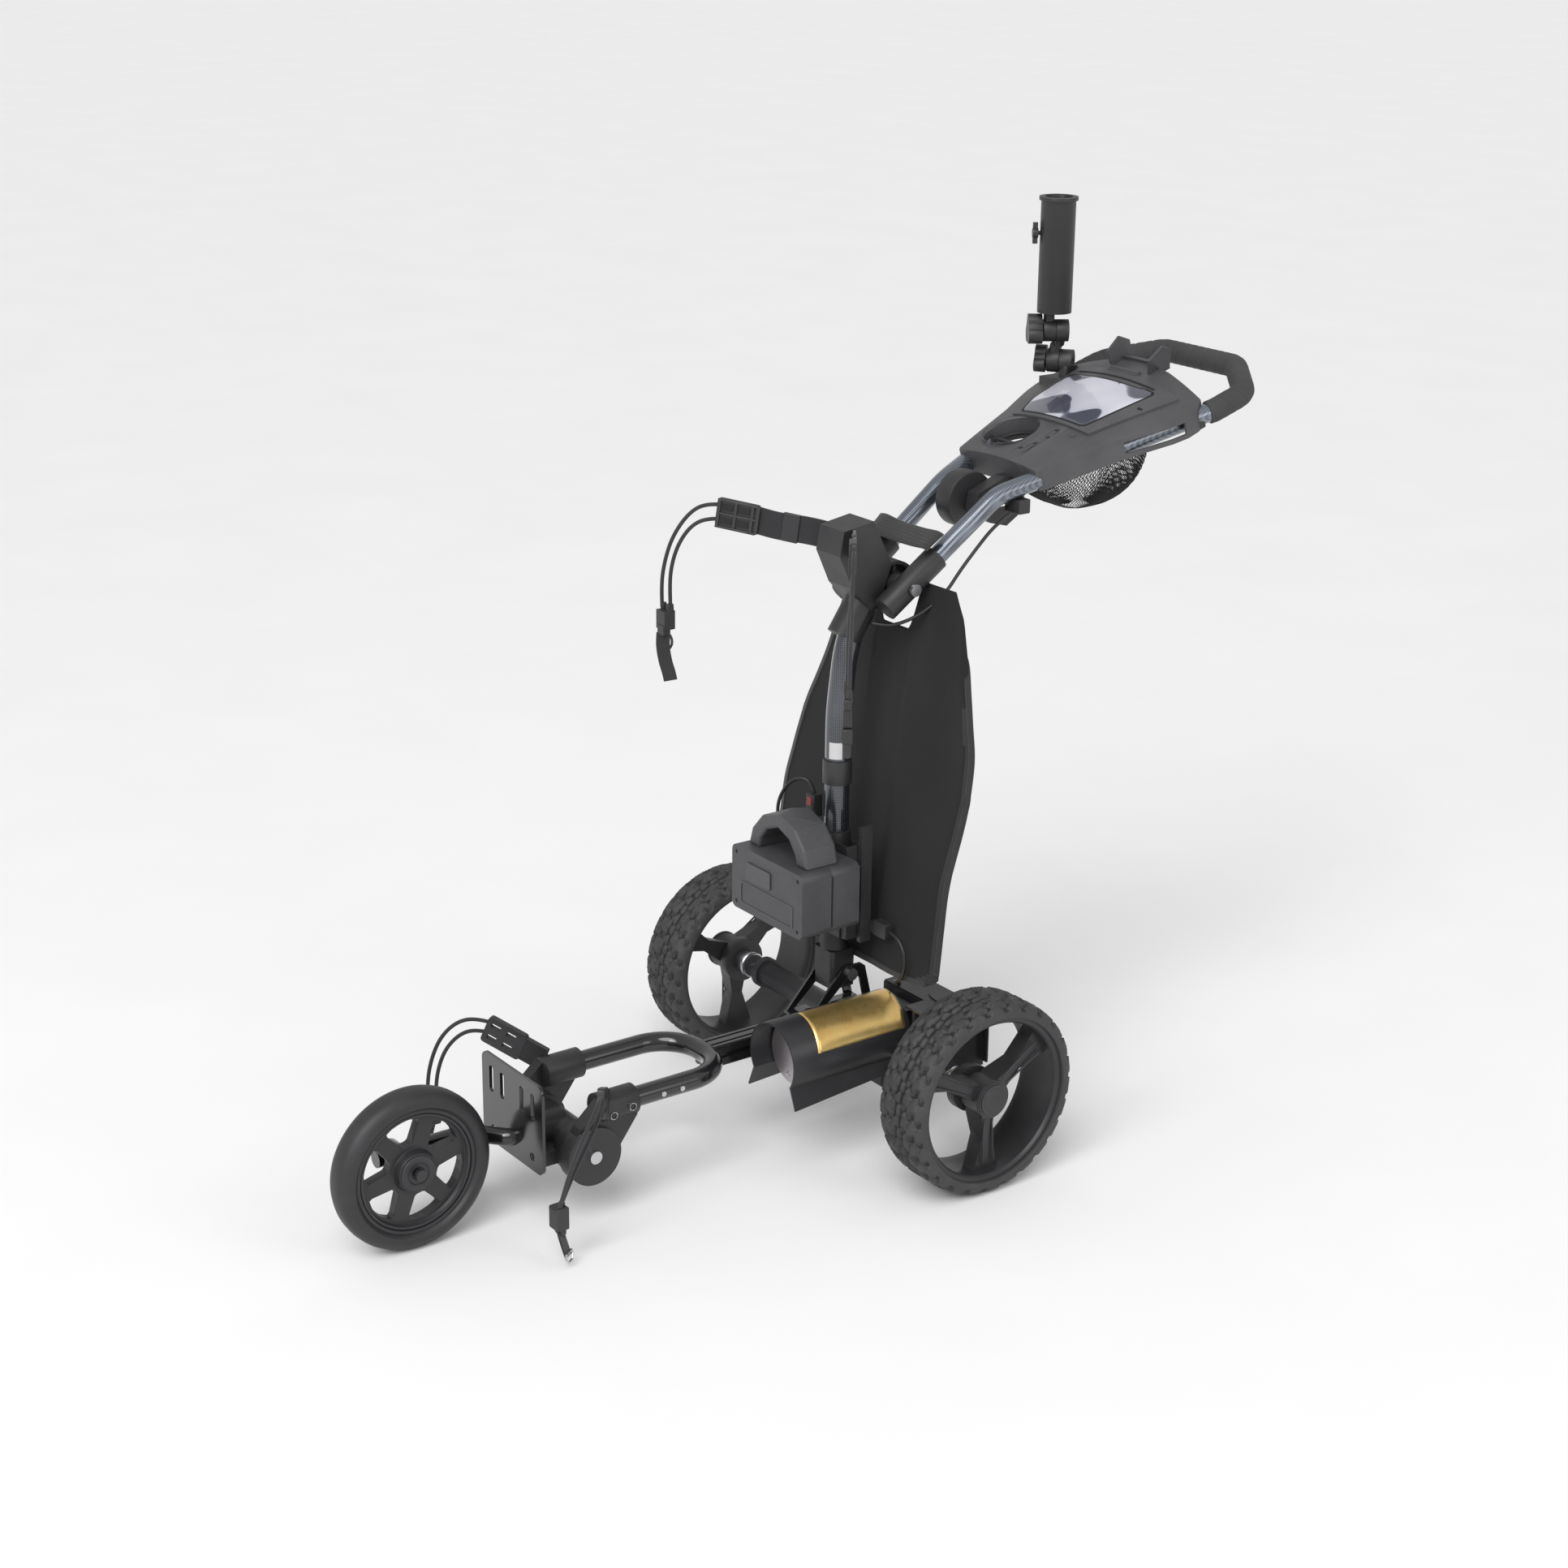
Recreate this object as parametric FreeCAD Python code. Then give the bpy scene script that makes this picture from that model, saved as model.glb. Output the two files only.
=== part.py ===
import FreeCAD, Part
import os
import math
from FreeCAD import Vector as V, Placement, Rotation, Matrix

os.makedirs("parts", exist_ok=True)

# ---------------------------------------------------------------- dimensions
# Millimetres. Working frame: X to the trolley's left, Y to the rear,
# Z up, ground at z = 0, rear axle above y = 0. Everything is moved by Y_SHIFT
# at the end, so that the origin is the middle of the footprint.
Y_SHIFT = 94.5

REAR_R = 140.0          # rear wheel radius
REAR_OUT = 329.0        # outer face of a rear tyre
REAR_IN = 241.0         # inner face of a rear tyre
REAR_RIM_R = 119.0      # seat of the rear tyre on its rim
FRONT_R = 112.0         # front wheel radius
FRONT_W = 46.0          # front tyre width
FRONT_RIM_R = 87.0
FRONT_Y = -715.0        # front axle
FRONT_Z = 112.0

BOOM_Z = 150.0
BOOM_W = 32.0
LOOP_X = 68.0           # legs of the U tube
LOOP_Z = 157.0
LOOP_R = 14.0
LOOP_BACK = -257.0      # centre line of the U's closed end
LOOP_FRONT = -446.0

AXLE_Z = 140.0
AXLE_TUBE_R = 19.0
SHAFT_R = 6.0
SHAFT_CLEAR = 0.1

FOLD_Y, FOLD_Z = -489.0, 99.0        # front fold pivot
MAST_PY, MAST_PZ = -20.0, 210.0      # mast fold pivot
HAND_PY, HAND_PZ = 43.0, 788.0       # handle fold pivot

MAST_Y = -30.0
MAST_R = 17.5
SLEEVE_R = 20.5
MAST_SPLIT = 439.0

MOTOR_X, MOTOR_Z = 90.0, 165.0
MOTOR_R = 45.0
COVER_R = 52.0

BAT_X = 83.0
BAT_Y0, BAT_YS, BAT_Y1 = -149.0, -98.0, -51.0
BAT_Z0, BAT_Z1 = 324.0, 418.0

HT_R = 13.5             # handle tube radius
GRIP_R = 16.2
CON_P = V(0, 240, 926)  # console plane, front middle
CON_SLOPE = 17.2
DOME_R = 481.0

SOCK_X, SOCK_Y = -120.0, 440.0       # umbrella holder axis
SOCK_Z0, SOCK_Z1 = 1103.0, 1264.0
SOCK_R, SOCK_BORE = 25.0, 20.0

CORD_R = 2.75
LEAD_R = 2.5

NODES = {}


# ------------------------------------------------------------------- helpers
def put(name, *shapes):
    flat = []
    for s in shapes:
        flat += list(s) if isinstance(s, (list, tuple)) else [s]
    solids = []
    for s in flat:
        solids += s.Solids
    NODES[name] = solids


def cyl(p, d, r, h):
    return Part.makeCylinder(r, h, V(*p), V(*d))


def ring(p, d, r1, r0, h):
    return cyl(p, d, r1, h).cut(cyl(tuple(V(*p) - V(*d).normalize() * 1), d, r0, h + 2))


def box(x0, y0, z0, x1, y1, z1, r=0.0, axis=None):
    b = Part.makeBox(x1 - x0, y1 - y0, z1 - z0, V(x0, y0, z0))
    if r > 0:
        es = []
        for e in b.Edges:
            a, c = e.Vertexes[0].Point, e.Vertexes[1].Point
            d = (c - a).normalize()
            if axis is None or abs(d.dot(V(*axis))) > 0.9:
                es.append(e)
        b = b.makeFillet(r, es)
    return b


def prism_x(pts, x0, x1):
    """Polygon in (y, z) run along X."""
    w = Part.makePolygon([V(x0, y, z) for y, z in pts + [pts[0]]])
    return Part.Face(w).extrude(V(x1 - x0, 0, 0))


def prism_z(pts, z0, z1):
    w = Part.makePolygon([V(x, y, z0) for x, y in pts + [pts[0]]])
    return Part.Face(w).extrude(V(0, 0, z1 - z0))


def mirror(s):
    return s.mirror(V(0, 0, 0), V(1, 0, 0))


def both(s):
    return [s, mirror(s)]


def revolve_x(pts, x_off=0.0, y=0.0, z=0.0):
    """Profile in (x, r) turned about the X axis through (y, z)."""
    w = Part.makePolygon([V(x + x_off, y, z + r) for x, r in pts + [pts[0]]])
    return Part.Face(w).revolve(V(0, y, z), V(1, 0, 0), 360)


def path(points, bends=None, k=0.45):
    """Straight runs joined by tangent arcs; returns wire, radii, length."""
    P = [V(*p) for p in points]
    n = len(P)
    runs = [(P[i + 1] - P[i]).Length for i in range(n - 1)]
    edges, radii, cur, length = [], [], P[0], 0.0
    for i in range(1, n - 1):
        a = (P[i - 1] - P[i]).normalize()
        b = (P[i + 1] - P[i]).normalize()
        turn = math.pi - a.getAngle(b)
        if bends is None:
            t = k * min(runs[i - 1], runs[i])
            r = t / math.tan(turn / 2)
        else:
            r = bends[i - 1] if isinstance(bends, (list, tuple)) else bends
            t = r * math.tan(turn / 2)
        radii.append((r, math.degrees(turn)))
        s, e = P[i] + a * t, P[i] + b * t
        h = r / math.cos(turn / 2) - r
        m = P[i] + (a + b).normalize() * h
        edges.append(Part.LineSegment(cur, s).toShape())
        edges.append(Part.Arc(s, m, e).toShape())
        length += (s - cur).Length + r * turn
        cur = e
    edges.append(Part.LineSegment(cur, P[-1]).toShape())
    length += (P[-1] - cur).Length
    return Part.Wire(edges), radii, length


def sweep(points, r, bends=None):
    w, radii, length = path(points, bends)
    d = V(*points[1]) - V(*points[0])
    c = Part.Wire([Part.makeCircle(r, V(*points[0]), d)])
    s = w.makePipeShell([c], True, False)
    s = s.Solids[0] if s.Solids else Part.Solid(s)
    return s, radii, length


def cord(name, points, r):
    s, radii, length = sweep(points, r)
    want = math.pi * r * r * length
    worst = min(a for a, t in radii)
    print("%-22s length %6.1f  tightest %5.1f (%.1f dia)  volume ratio %.4f  radii %s" % (
        name, length, worst, worst / (2 * r), s.Volume / want,
        " ".join("%.0f/%.0fdeg" % (a, t) for a, t in radii)))
    return s


def bar(p0, p1, w, t, up=(0, 0, 1), r=0.0):
    """Flat bar from p0 to p1: w along 'up', t across."""
    a, b = V(*p0), V(*p1)
    d = (b - a)
    L = d.Length
    d.normalize()
    side = d.cross(V(*up)).normalize()
    u = side.cross(d).normalize()
    s = Part.makeBox(L, t, w, V(0, -t / 2, -w / 2))
    if r > 0:
        es = [e for e in s.Edges if abs(((e.Vertexes[1].Point - e.Vertexes[0].Point).normalize()).dot(V(0, 1, 0))) > 0.9]
        s = s.makeFillet(r, es)
    m = Matrix(d.x, -side.x, u.x, a.x, d.y, -side.y, u.y, a.y, d.z, -side.z, u.z, a.z, 0, 0, 0, 1)
    s.Placement = Placement(m)
    return s


def fuse(*s):
    out = s[0]
    for x in s[1:]:
        out = out.fuse(x)
    return out.removeSplitter()


CON = Placement(CON_P, Rotation(V(1, 0, 0), CON_SLOPE))


def con(shape):
    """Moves a shape modelled on the console plane (x, s, n) to its place."""
    s = shape.copy()
    s.Placement = CON.multiply(s.Placement)
    return s


def con_pt(x, s, n):
    return CON.multVec(V(x, s, n))


# ---------------------------------------------------------------- rear wheels
W = REAR_OUT - REAR_IN
tyre_prof = [(0, REAR_RIM_R + 0.5), (0, REAR_R - 13), (4, REAR_R - 6), (12, REAR_R - 1.2), (22, REAR_R),
             (W - 22, REAR_R), (W - 12, REAR_R - 1.2), (W - 4, REAR_R - 6), (W, REAR_R - 13), (W, REAR_RIM_R + 0.5),
             (W - 3, REAR_RIM_R), (3, REAR_RIM_R)]
tyre = revolve_x(tyre_prof, REAR_IN, 0, AXLE_Z)
rim_prof = [(5, REAR_RIM_R), (W - 5, REAR_RIM_R), (W - 5, REAR_RIM_R - 6), (W - 9, REAR_RIM_R - 9), (9, REAR_RIM_R - 7),
            (5, REAR_RIM_R - 5)]
rim = revolve_x(rim_prof, REAR_IN, 0, AXLE_Z)
hub = fuse(cyl((262, 0, AXLE_Z), (1, 0, 0), 33, 16), cyl((277, 0, AXLE_Z), (1, 0, 0), 26, 40),
           cyl((237, 0, AXLE_Z), (1, 0, 0), 17, 26))
for k in range(3):
    sp = Part.makeLoft([
        Part.makePolygon([V(280, -17, AXLE_Z + 18), V(312, -12, AXLE_Z + 18), V(312, 12, AXLE_Z + 18),
                          V(280, 17, AXLE_Z + 18), V(280, -17, AXLE_Z + 18)]),
        Part.makePolygon([V(284, -9, AXLE_Z + 62), V(308, -7, AXLE_Z + 62), V(308, 7, AXLE_Z + 62),
                          V(284, 9, AXLE_Z + 62), V(284, -9, AXLE_Z + 62)]),
        Part.makePolygon([V(284, -24, AXLE_Z + 113.5), V(306, -22, AXLE_Z + 113.5), V(306, 22, AXLE_Z + 113.5),
                          V(284, 24, AXLE_Z + 113.5), V(284, -24, AXLE_Z + 113.5)]),
    ], True, True)
    sp.rotate(V(0, 0, AXLE_Z), V(1, 0, 0), 120 * k + 62)
    hub = hub.fuse(sp)
rim = rim.fuse(hub).removeSplitter()
rim = rim.cut(cyl((230, 0, AXLE_Z), (1, 0, 0), SHAFT_R + SHAFT_CLEAR, 84))
cap = fuse(cyl((317, 0, AXLE_Z), (1, 0, 0), 27, 4), cyl((321, 0, AXLE_Z), (1, 0, 0), 22, 3))
rim = rim.fuse(cap).removeSplitter()
for side, s in (("left", lambda q: q), ("right", mirror)):
    put("rear_tyre_" + side, s(tyre))
    put("rear_rim_" + side, s(rim))

# ------------------------------------------------------------ drive and axle
shaft = cyl((-312, 0, AXLE_Z), (1, 0, 0), SHAFT_R, 624)
wheel_r = 17.0
gear = cyl((82, 0, AXLE_Z), (1, 0, 0), wheel_r, 16)
teeth = 24
for k in range(teeth):
    a = 2 * math.pi * k / teeth
    slot = box(81, -1.1, AXLE_Z + wheel_r - 2.2, 99, 1.1, AXLE_Z + wheel_r + 2)
    slot.rotate(V(0, 0, AXLE_Z), V(1, 0, 0), math.degrees(a))
    gear = gear.cut(slot)
put("drive_shaft", fuse(shaft, gear))
rotor = fuse(cyl((MOTOR_X, -150, MOTOR_Z), (0, 1, 0), 4, 172), cyl((MOTOR_X, -140, MOTOR_Z), (0, 1, 0), 28, 80),
             cyl((MOTOR_X, -14, MOTOR_Z), (0, 1, 0), 7.2, 28))
for k in range(6):
    rotor = rotor.cut(ring((MOTOR_X, -12.5 + 4.4 * k, MOTOR_Z), (0, 1, 0), 9, 5.2, 2.0))
put("motor_rotor", rotor)

tube_l = ring((-212, 0, AXLE_Z), (1, 0, 0), AXLE_TUBE_R, 9, 274)
tube_r = ring((122, 0, AXLE_Z), (1, 0, 0), AXLE_TUBE_R, 9, 90)
flange = [ring((-212, 0, AXLE_Z), (1, 0, 0), 23, 9, 12), ring((200, 0, AXLE_Z), (1, 0, 0), 23, 9, 12)]
put("axle_tube", tube_l.fuse(flange[0]).removeSplitter(), tube_r.fuse(flange[1]).removeSplitter())

gb = fuse(box(62, -38, 104, 122, 34, 196, 8, (1, 0, 0)), box(70, -30, 84, 114, 20, 110, 5, (1, 0, 0)))
gb = gb.cut(box(76, -25, 116, 104, 25, 180))
gb = gb.cut(cyl((50, 0, AXLE_Z), (1, 0, 0), 9, 90))
gb = gb.cut(cyl((MOTOR_X, -60, MOTOR_Z), (0, 1, 0), 10, 55))
fit = fuse(box(40, -36, 74, 62, -22, 92, 3, (1, 0, 0)), cyl((30, -29, 83), (1, 0, 0), 6, 12))
put("gearbox_housing", fuse(gb, fit, box(60, -36, 84, 75, -22, 92)))

can = ring((MOTOR_X, -160, MOTOR_Z), (0, 1, 0), MOTOR_R, MOTOR_R - 4, 122)
can = can.fuse(ring((MOTOR_X, -42, MOTOR_Z), (0, 1, 0), MOTOR_R, 10, 4)).removeSplitter()
put("motor_can", can, fuse(cyl((MOTOR_X, -170, MOTOR_Z), (0, 1, 0), MOTOR_R - 0.5, 10),
                          cyl((MOTOR_X + 22, -172, MOTOR_Z - 22), (0, 1, 0), 3, 3),
                          cyl((MOTOR_X - 22, -172, MOTOR_Z + 22), (0, 1, 0), 3, 3)))
cov = ring((MOTOR_X, -202, MOTOR_Z), (0, 1, 0), COVER_R, COVER_R - 2.5, 202)
cov = cov.cut(box(MOTOR_X - 70, -203, MOTOR_Z - 60, MOTOR_X + 70, 1, MOTOR_Z - 28))
lip = prism_x([(-202, MOTOR_Z - 26), (-23, MOTOR_Z - 26), (-23, MOTOR_Z - 46), (-202, MOTOR_Z - 60)], 0, 2.5)
ca = math.sqrt(COVER_R ** 2 - 28 ** 2)
lr = lip.copy()
lr.translate(V(-2.5, 0, 0))
lr.rotate(V(0, 0, MOTOR_Z - 28), V(0, 1, 0), -22)
lr.translate(V(MOTOR_X + ca, 0, 0))
ll = lip.copy()
ll.rotate(V(0, 0, MOTOR_Z - 28), V(0, 1, 0), 22)
ll.translate(V(MOTOR_X - ca, 0, 0))
gap = cyl((MOTOR_X, -165, MOTOR_Z), (0, 1, 0), COVER_R - 2.4, 200)
cover = cov.fuse(lr).fuse(ll).removeSplitter()
cover = cover.cut(box(60, -39, 80, 124, 1, 197.5)).cut(box(-30, -240, 120, 17, 30, 168)).cut(
    box(20, -22, 90, 160, 2, 162))
cover = cover.fuse(ring((MOTOR_X, -120, MOTOR_Z), (0, 1, 0), COVER_R - 2, MOTOR_R, 14).cut(
    box(MOTOR_X - 70, -203, MOTOR_Z - 60, MOTOR_X + 70, 1, MOTOR_Z - 20))).removeSplitter()
put("motor_cover", max(cover.Solids, key=lambda q: q.Volume))

# deck: a folded sheet above the axle behind the motor
deck = fuse(box(34, 36, 203, 205, 88, 206), box(34, 85, 128, 205, 88, 206), box(124, 2, 203, 205, 40, 206))
deck = deck.fuse(box(140, 19.2, 121, 146, 87, 204)).fuse(box(140, 2, 159.2, 146, 87, 204)).fuse(
    box(190, 19.2, 121, 196, 87, 204)).fuse(box(190, 2, 159.2, 196, 87, 204))
deck = deck.fuse(box(34, 34.2, 150, 122, 38, 204))
badge = cyl((165, 62, 206), (0, 0, 1), 1, 1.6)
oval = Part.Face(Part.Wire([Part.Ellipse(V(140, 62, 206), 34, 15).toShape()])).extrude(V(0, 0, 1.6))
put("rear_deck", deck.fuse(oval).removeSplitter())

# --------------------------------------------------------------- boom and loop
boom = box(-BOOM_W / 2, LOOP_BACK, BOOM_Z - 16, BOOM_W / 2, -10, BOOM_Z + 16, 2.5, (0, 1, 0))
for sx in (-1, 1):
    boom = boom.cut(box(min(sx * 13, sx * 17), LOOP_BACK, BOOM_Z - 3.5, max(sx * 13, sx * 17), 0, BOOM_Z + 3.5))
for dx in (-7, 7):
    boom = boom.cut(box(dx - 2, LOOP_BACK, BOOM_Z + 13.5, dx + 2, 0, BOOM_Z + 17))
    boom = boom.cut(box(dx - 2, LOOP_BACK, BOOM_Z - 17, dx + 2, 0, BOOM_Z - 13.5))
boom = boom.cut(cyl((-60, 0, AXLE_Z), (1, 0, 0), AXLE_TUBE_R, 120))
uloop, rr, ll_ = sweep([(LOOP_X, LOOP_FRONT, LOOP_Z), (LOOP_X, LOOP_BACK, LOOP_Z), (-LOOP_X, LOOP_BACK, LOOP_Z),
                        (-LOOP_X, LOOP_FRONT, LOOP_Z)], LOOP_R, 61.0)
boom = boom.cut(uloop)
boom = max(boom.Solids, key=lambda q: q.Volume)
put("boom", boom)
put("u_loop", uloop)

# front hinge housings: a sleeve on each leg and a round cheek below it
hs = cyl((LOOP_X, -474, LOOP_Z), (0, 1, 0), 21, 58)
hs = hs.fuse(prism_x([(-474, 172), (-418, 172), (-418, 140), (-446, 102), (-489, 66), (-524, 110), (-508, 142)],
                     66, 84)).removeSplitter()
hs = hs.fuse(cyl((66, FOLD_Y, FOLD_Z), (1, 0, 0), 41, 24)).removeSplitter()
hs = hs.cut(cyl((LOOP_X, LOOP_FRONT, LOOP_Z), (0, 1, 0), LOOP_R, 80))
hs = hs.cut(cyl((60, FOLD_Y, FOLD_Z), (1, 0, 0), 6.0, 40))
hs = hs.cut(cyl((86, -430, 157), (1, 0, 0), 2.6, 8)).cut(cyl((84, -458, 150), (1, 0, 0), 2.6, 8))
put("front_housings", both(hs))

# lower bag arms: moulded arm with a four-slot end plate
def arm(p0, p1, w0, w1, slots=True, plate=58, t=8, t2=9):
    a, b = V(*p0), V(*p1)
    d = (b - a).normalize()
    m = b - d * plate
    first = bar(tuple(a), tuple(m), w0, t, r=2)
    second = bar(tuple(m - d * 2), tuple(b), w1, t2, r=5)
    s = first.fuse(second).removeSplitter()
    side = d.cross(V(0, 0, 1)).normalize()
    up = side.cross(d).normalize()
    if slots:
        for f in (14, 38):
            for g in (-9, 9):
                c = b - d * f + up * g
                s = s.cut(bar(tuple(c - d * 7), tuple(c + d * 7), 7, 40, r=0))
    return s


lower_arm = arm((78, -463, 169), (146, -515, 206), 34, 40)
hl = Part.makeCompound([hs])
lower_arm = lower_arm.cut(hs)
lower_arm = max(lower_arm.Solids, key=lambda q: q.Volume)
put("lower_bag_arms", both(lower_arm))

# fasteners: fold pin, housing bolts, loop rivets, mast pivot bolt, plate bolts
fast = [cyl((-92, FOLD_Y, FOLD_Z), (1, 0, 0), 6.0, 184)]
heads = []
for sx in (1, -1):
    heads.append(cyl((sx * 90, FOLD_Y, FOLD_Z), (sx, 0, 0), 9, 3.5))
pin = fast[0]
for h in heads:
    pin = pin.fuse(h)
fasteners = [pin.removeSplitter()]
for sx in (1, -1):
    for (y, z, x0) in ((-430, 157, 88.4), (-458, 150, 85.5)):
        fasteners.append(cyl((sx * x0, y, z), (sx, 0, 0), 5.5, 4.0))
    for y in (-345, -375):
        fasteners.append(cyl((sx * 81.7, y, LOOP_Z), (sx, 0, 0), 3.6, 2.2))

# mast base: two upright plates bolted to the boom, pivot bolt through both
pl = prism_x([(-98, 166.2), (-86, 166.2), (-26, 218), (-4, 218), (8, 166.2), (22, 166.2), (6, 232), (-2, 238),
              (-30, 238), (-36, 234)], 22.5, 26.5)
foot = box(12, -98, 166.2, 26.5, -60, 169.2)
foot2 = box(12, -26, 166.2, 26.5, 22, 169.2)
pl = fuse(pl, foot, foot2).cut(cyl((10, MAST_PY, MAST_PZ + 15), (1, 0, 0), 5.05, 30))
PIV_Z = MAST_PZ + 15
cross = box(-26.5, -84, 166.2, 26.5, -72, 169.2)
left, right = both(pl)
put("mast_hinge_plates", fuse(left, right, cross))
pb = fuse(cyl((-31, MAST_PY, PIV_Z), (1, 0, 0), 5.0, 62), cyl((26.6, MAST_PY, PIV_Z), (1, 0, 0), 9, 5),
          cyl((-31.6, MAST_PY, PIV_Z), (1, 0, 0), 9, 5))
put("frame_fasteners", fasteners, pb)
for nm in ("front_housings", "u_loop", "lower_bag_arms"):
    cutd = []
    for s in NODES[nm]:
        for f in fasteners:
            s = s.cut(f)
        cutd.append(max(s.Solids, key=lambda q: q.Volume))
    put(nm, cutd)

# ---------------------------------------------------------------- front fold
blk = cyl((-65.5, FOLD_Y, FOLD_Z), (1, 0, 0), 30, 131)
blk = blk.fuse(cyl((-64, FOLD_Y, FOLD_Z), (1, 0, 0), 36, 22)).fuse(cyl((42, FOLD_Y, FOLD_Z), (1, 0, 0), 36, 22))
blk = blk.fuse(cyl((0, FOLD_Y, 113), (0, -1, 0), 25, 62)).fuse(cyl((0, FOLD_Y - 62, 113), (0, -1, 0), 29, 6))
blk = blk.fuse(box(-52, -546, 84, 52, -505, 104, 6, (1, 0, 0))).removeSplitter()
blk = blk.cut(cyl((-80, FOLD_Y, FOLD_Z), (1, 0, 0), 6.1, 160))
put("front_hinge_block", blk)
plate = box(-77, -561.5, 84, 77, -557, 212, 12, (0, 1, 0))
plate = plate.cut(cyl((0, -570, 113), (0, 1, 0), 12.0, 20))
for x0, w in ((-58, 10), (-30, 10), (20, 10), (48, 10)):
    plate = plate.cut(box(x0, -570, 158, x0 + w, -550, 196, 4.5, (0, 1, 0)))
plate = plate.cut(cyl((50, -570, 104), (0, 1, 0), 6, 20)).cut(cyl((-50, -570, 104), (0, 1, 0), 6, 20))
stem, rr, _ = sweep([(0, -530, 113), (0, -566, 113), (-46, -604, 112), (-46, -742, 112)], 11.9, [16.0, 16.0])
blk2 = NODES["front_hinge_block"][0].cut(cyl((0, -530, 113), (0, -1, 0), 11.9, 60))
put("front_hinge_block", blk2)
axle_boss = cyl((-60, FRONT_Y, FRONT_Z), (1, 0, 0), 17, 32)
arm_w = stem.fuse(axle_boss).removeSplitter().cut(cyl((-70, FRONT_Y, FRONT_Z), (1, 0, 0), 5.0, 60))
put("front_stem", arm_w)
put("bag_rest_plate", plate.cut(arm_w))
put("front_axle", fuse(cyl((-64, FRONT_Y, FRONT_Z), (1, 0, 0), 5.0, 92), cyl((-67, FRONT_Y, FRONT_Z), (1, 0, 0), 9, 7),
                       cyl((24.2, FRONT_Y, FRONT_Z), (1, 0, 0), 8, 6)))
h = FRONT_W / 2
tp = [(-h + 6, FRONT_RIM_R), (-h + 1, FRONT_RIM_R + 4), (-h, FRONT_RIM_R + 10), (-h + 2.5, FRONT_R - 9),
      (-h + 8, FRONT_R - 3), (-h + 15, FRONT_R - 0.6), (0, FRONT_R)]
tp = tp + [(-x, r) for x, r in tp[-2::-1]]
put("front_tyre", revolve_x(tp, 0, FRONT_Y, FRONT_Z))
fr = revolve_x([(-17, FRONT_RIM_R), (17, FRONT_RIM_R), (17, FRONT_RIM_R - 5), (13, FRONT_RIM_R - 5), (13, 78), (8, 76),
                (8, 30), (20, 27), (20, 6), (-22, 6), (-22, 20), (-8, 26), (-8, 74), (-13, 78), (-13, FRONT_RIM_R - 5),
                (-17, FRONT_RIM_R - 5)], 0, FRONT_Y, FRONT_Z)
for k in range(6):
    w = []
    for (r, a) in ((36.5, -6), (38.5, -11), (66, -20.5), (70.5, -19.5), (72.6, -10), (73.2, 0), (72.6, 10), (70.5, 19.5), (66, 20.5), (38.5, 11), (36.5, 6)):
        w.append((FRONT_Y + r * math.sin(math.radians(a)), FRONT_Z + r * math.cos(math.radians(a))))
    win = prism_x(w, -20, 20)
    win.rotate(V(0, FRONT_Y, FRONT_Z), V(1, 0, 0), 60 * k + 12)
    fr = fr.cut(win)
fr = fr.cut(cyl((-30, FRONT_Y, FRONT_Z), (1, 0, 0), 5.1, 60))
fr = fr.cut(cyl((19, FRONT_Y, FRONT_Z), (1, 0, 0), 9, 10)).cut(cyl((-30, FRONT_Y, FRONT_Z), (1, 0, 0), 11, 2))
put("front_rim", fr)

# ---------------------------------------------------------------------- mast
MAST = [(0, MAST_Y, 262), (0, MAST_Y, 610), (0, -16, 722), (0, 24, 782)]
mast, rr, _ = sweep(MAST, MAST_R, [420.0, 210.0])
put("mast_tube", mast)
sl = ring((0, MAST_Y, 262), (0, 0, 1), SLEEVE_R, MAST_R, MAST_SPLIT - 262)
foot = fuse(box(-21.5, -50, 205, 21.5, -8, 262, 6, (0, 0, 1)), cyl((-21.5, MAST_PY, PIV_Z), (1, 0, 0), 12, 43))
foot = foot.cut(cyl((-30, MAST_PY, PIV_Z), (1, 0, 0), 5.1, 60))
foot = foot.cut(box(-30, -60, 196, 30, -49, 214))
col = ring((0, MAST_Y, 508), (0, 0, 1), SLEEVE_R, MAST_R, 34)
put("mast_sleeve", foot.fuse(sl).removeSplitter(), col)

br = fuse(box(-52, -49.6, 292, 52, -46.6, 430, 6, (0, 1, 0)), box(-52, -48, 292, -49, -14, 430),
          box(49, -48, 292, 52, -14, 430), box(-49, -17, 296, 49, -14, 424))
shelf = fuse(box(-40, -100, 318, 40, -48, 322), box(-40, -52, 292, 40, -47, 322))
br = fuse(br, shelf, box(-44, -47, 426, -22.5, -43, 452)).cut(cyl((0, MAST_Y, 280), (0, 0, 1), SLEEVE_R, 200))
put("battery_bracket", max(br.Solids, key=lambda q: q.Volume))

# upper housing: drum across the mast top, block for the straps, socket
drum = cyl((-26, HAND_PY, 782), (1, 0, 0), 37, 52)
drum = drum.cut(cyl((8, HAND_PY, 782), (1, 0, 0), 32, 20)).cut(cyl((-28, HAND_PY, 782), (1, 0, 0), 32, 20))
drum = drum.fuse(cyl((-28, HAND_PY, HAND_PZ), (1, 0, 0), 13, 56)).fuse(box(8, 40, 752, 26, 44, 812))
blockf = prism_x([(-52, 838), (-46, 872), (4, 880), (36, 816), (20, 770), (2, 756), (-30, 790)], -27, 27)
sock = cyl((0, -24, 716), tuple(V(0, 46, 68).normalize()), 24, 66)
uh = fuse(drum, blockf, sock).cut(mast)
uh = max(uh.Solids, key=lambda q: q.Volume).cut(cyl((-40, HAND_PY, HAND_PZ), (1, 0, 0), 5.0, 80))
put("upper_housing", uh)

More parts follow.
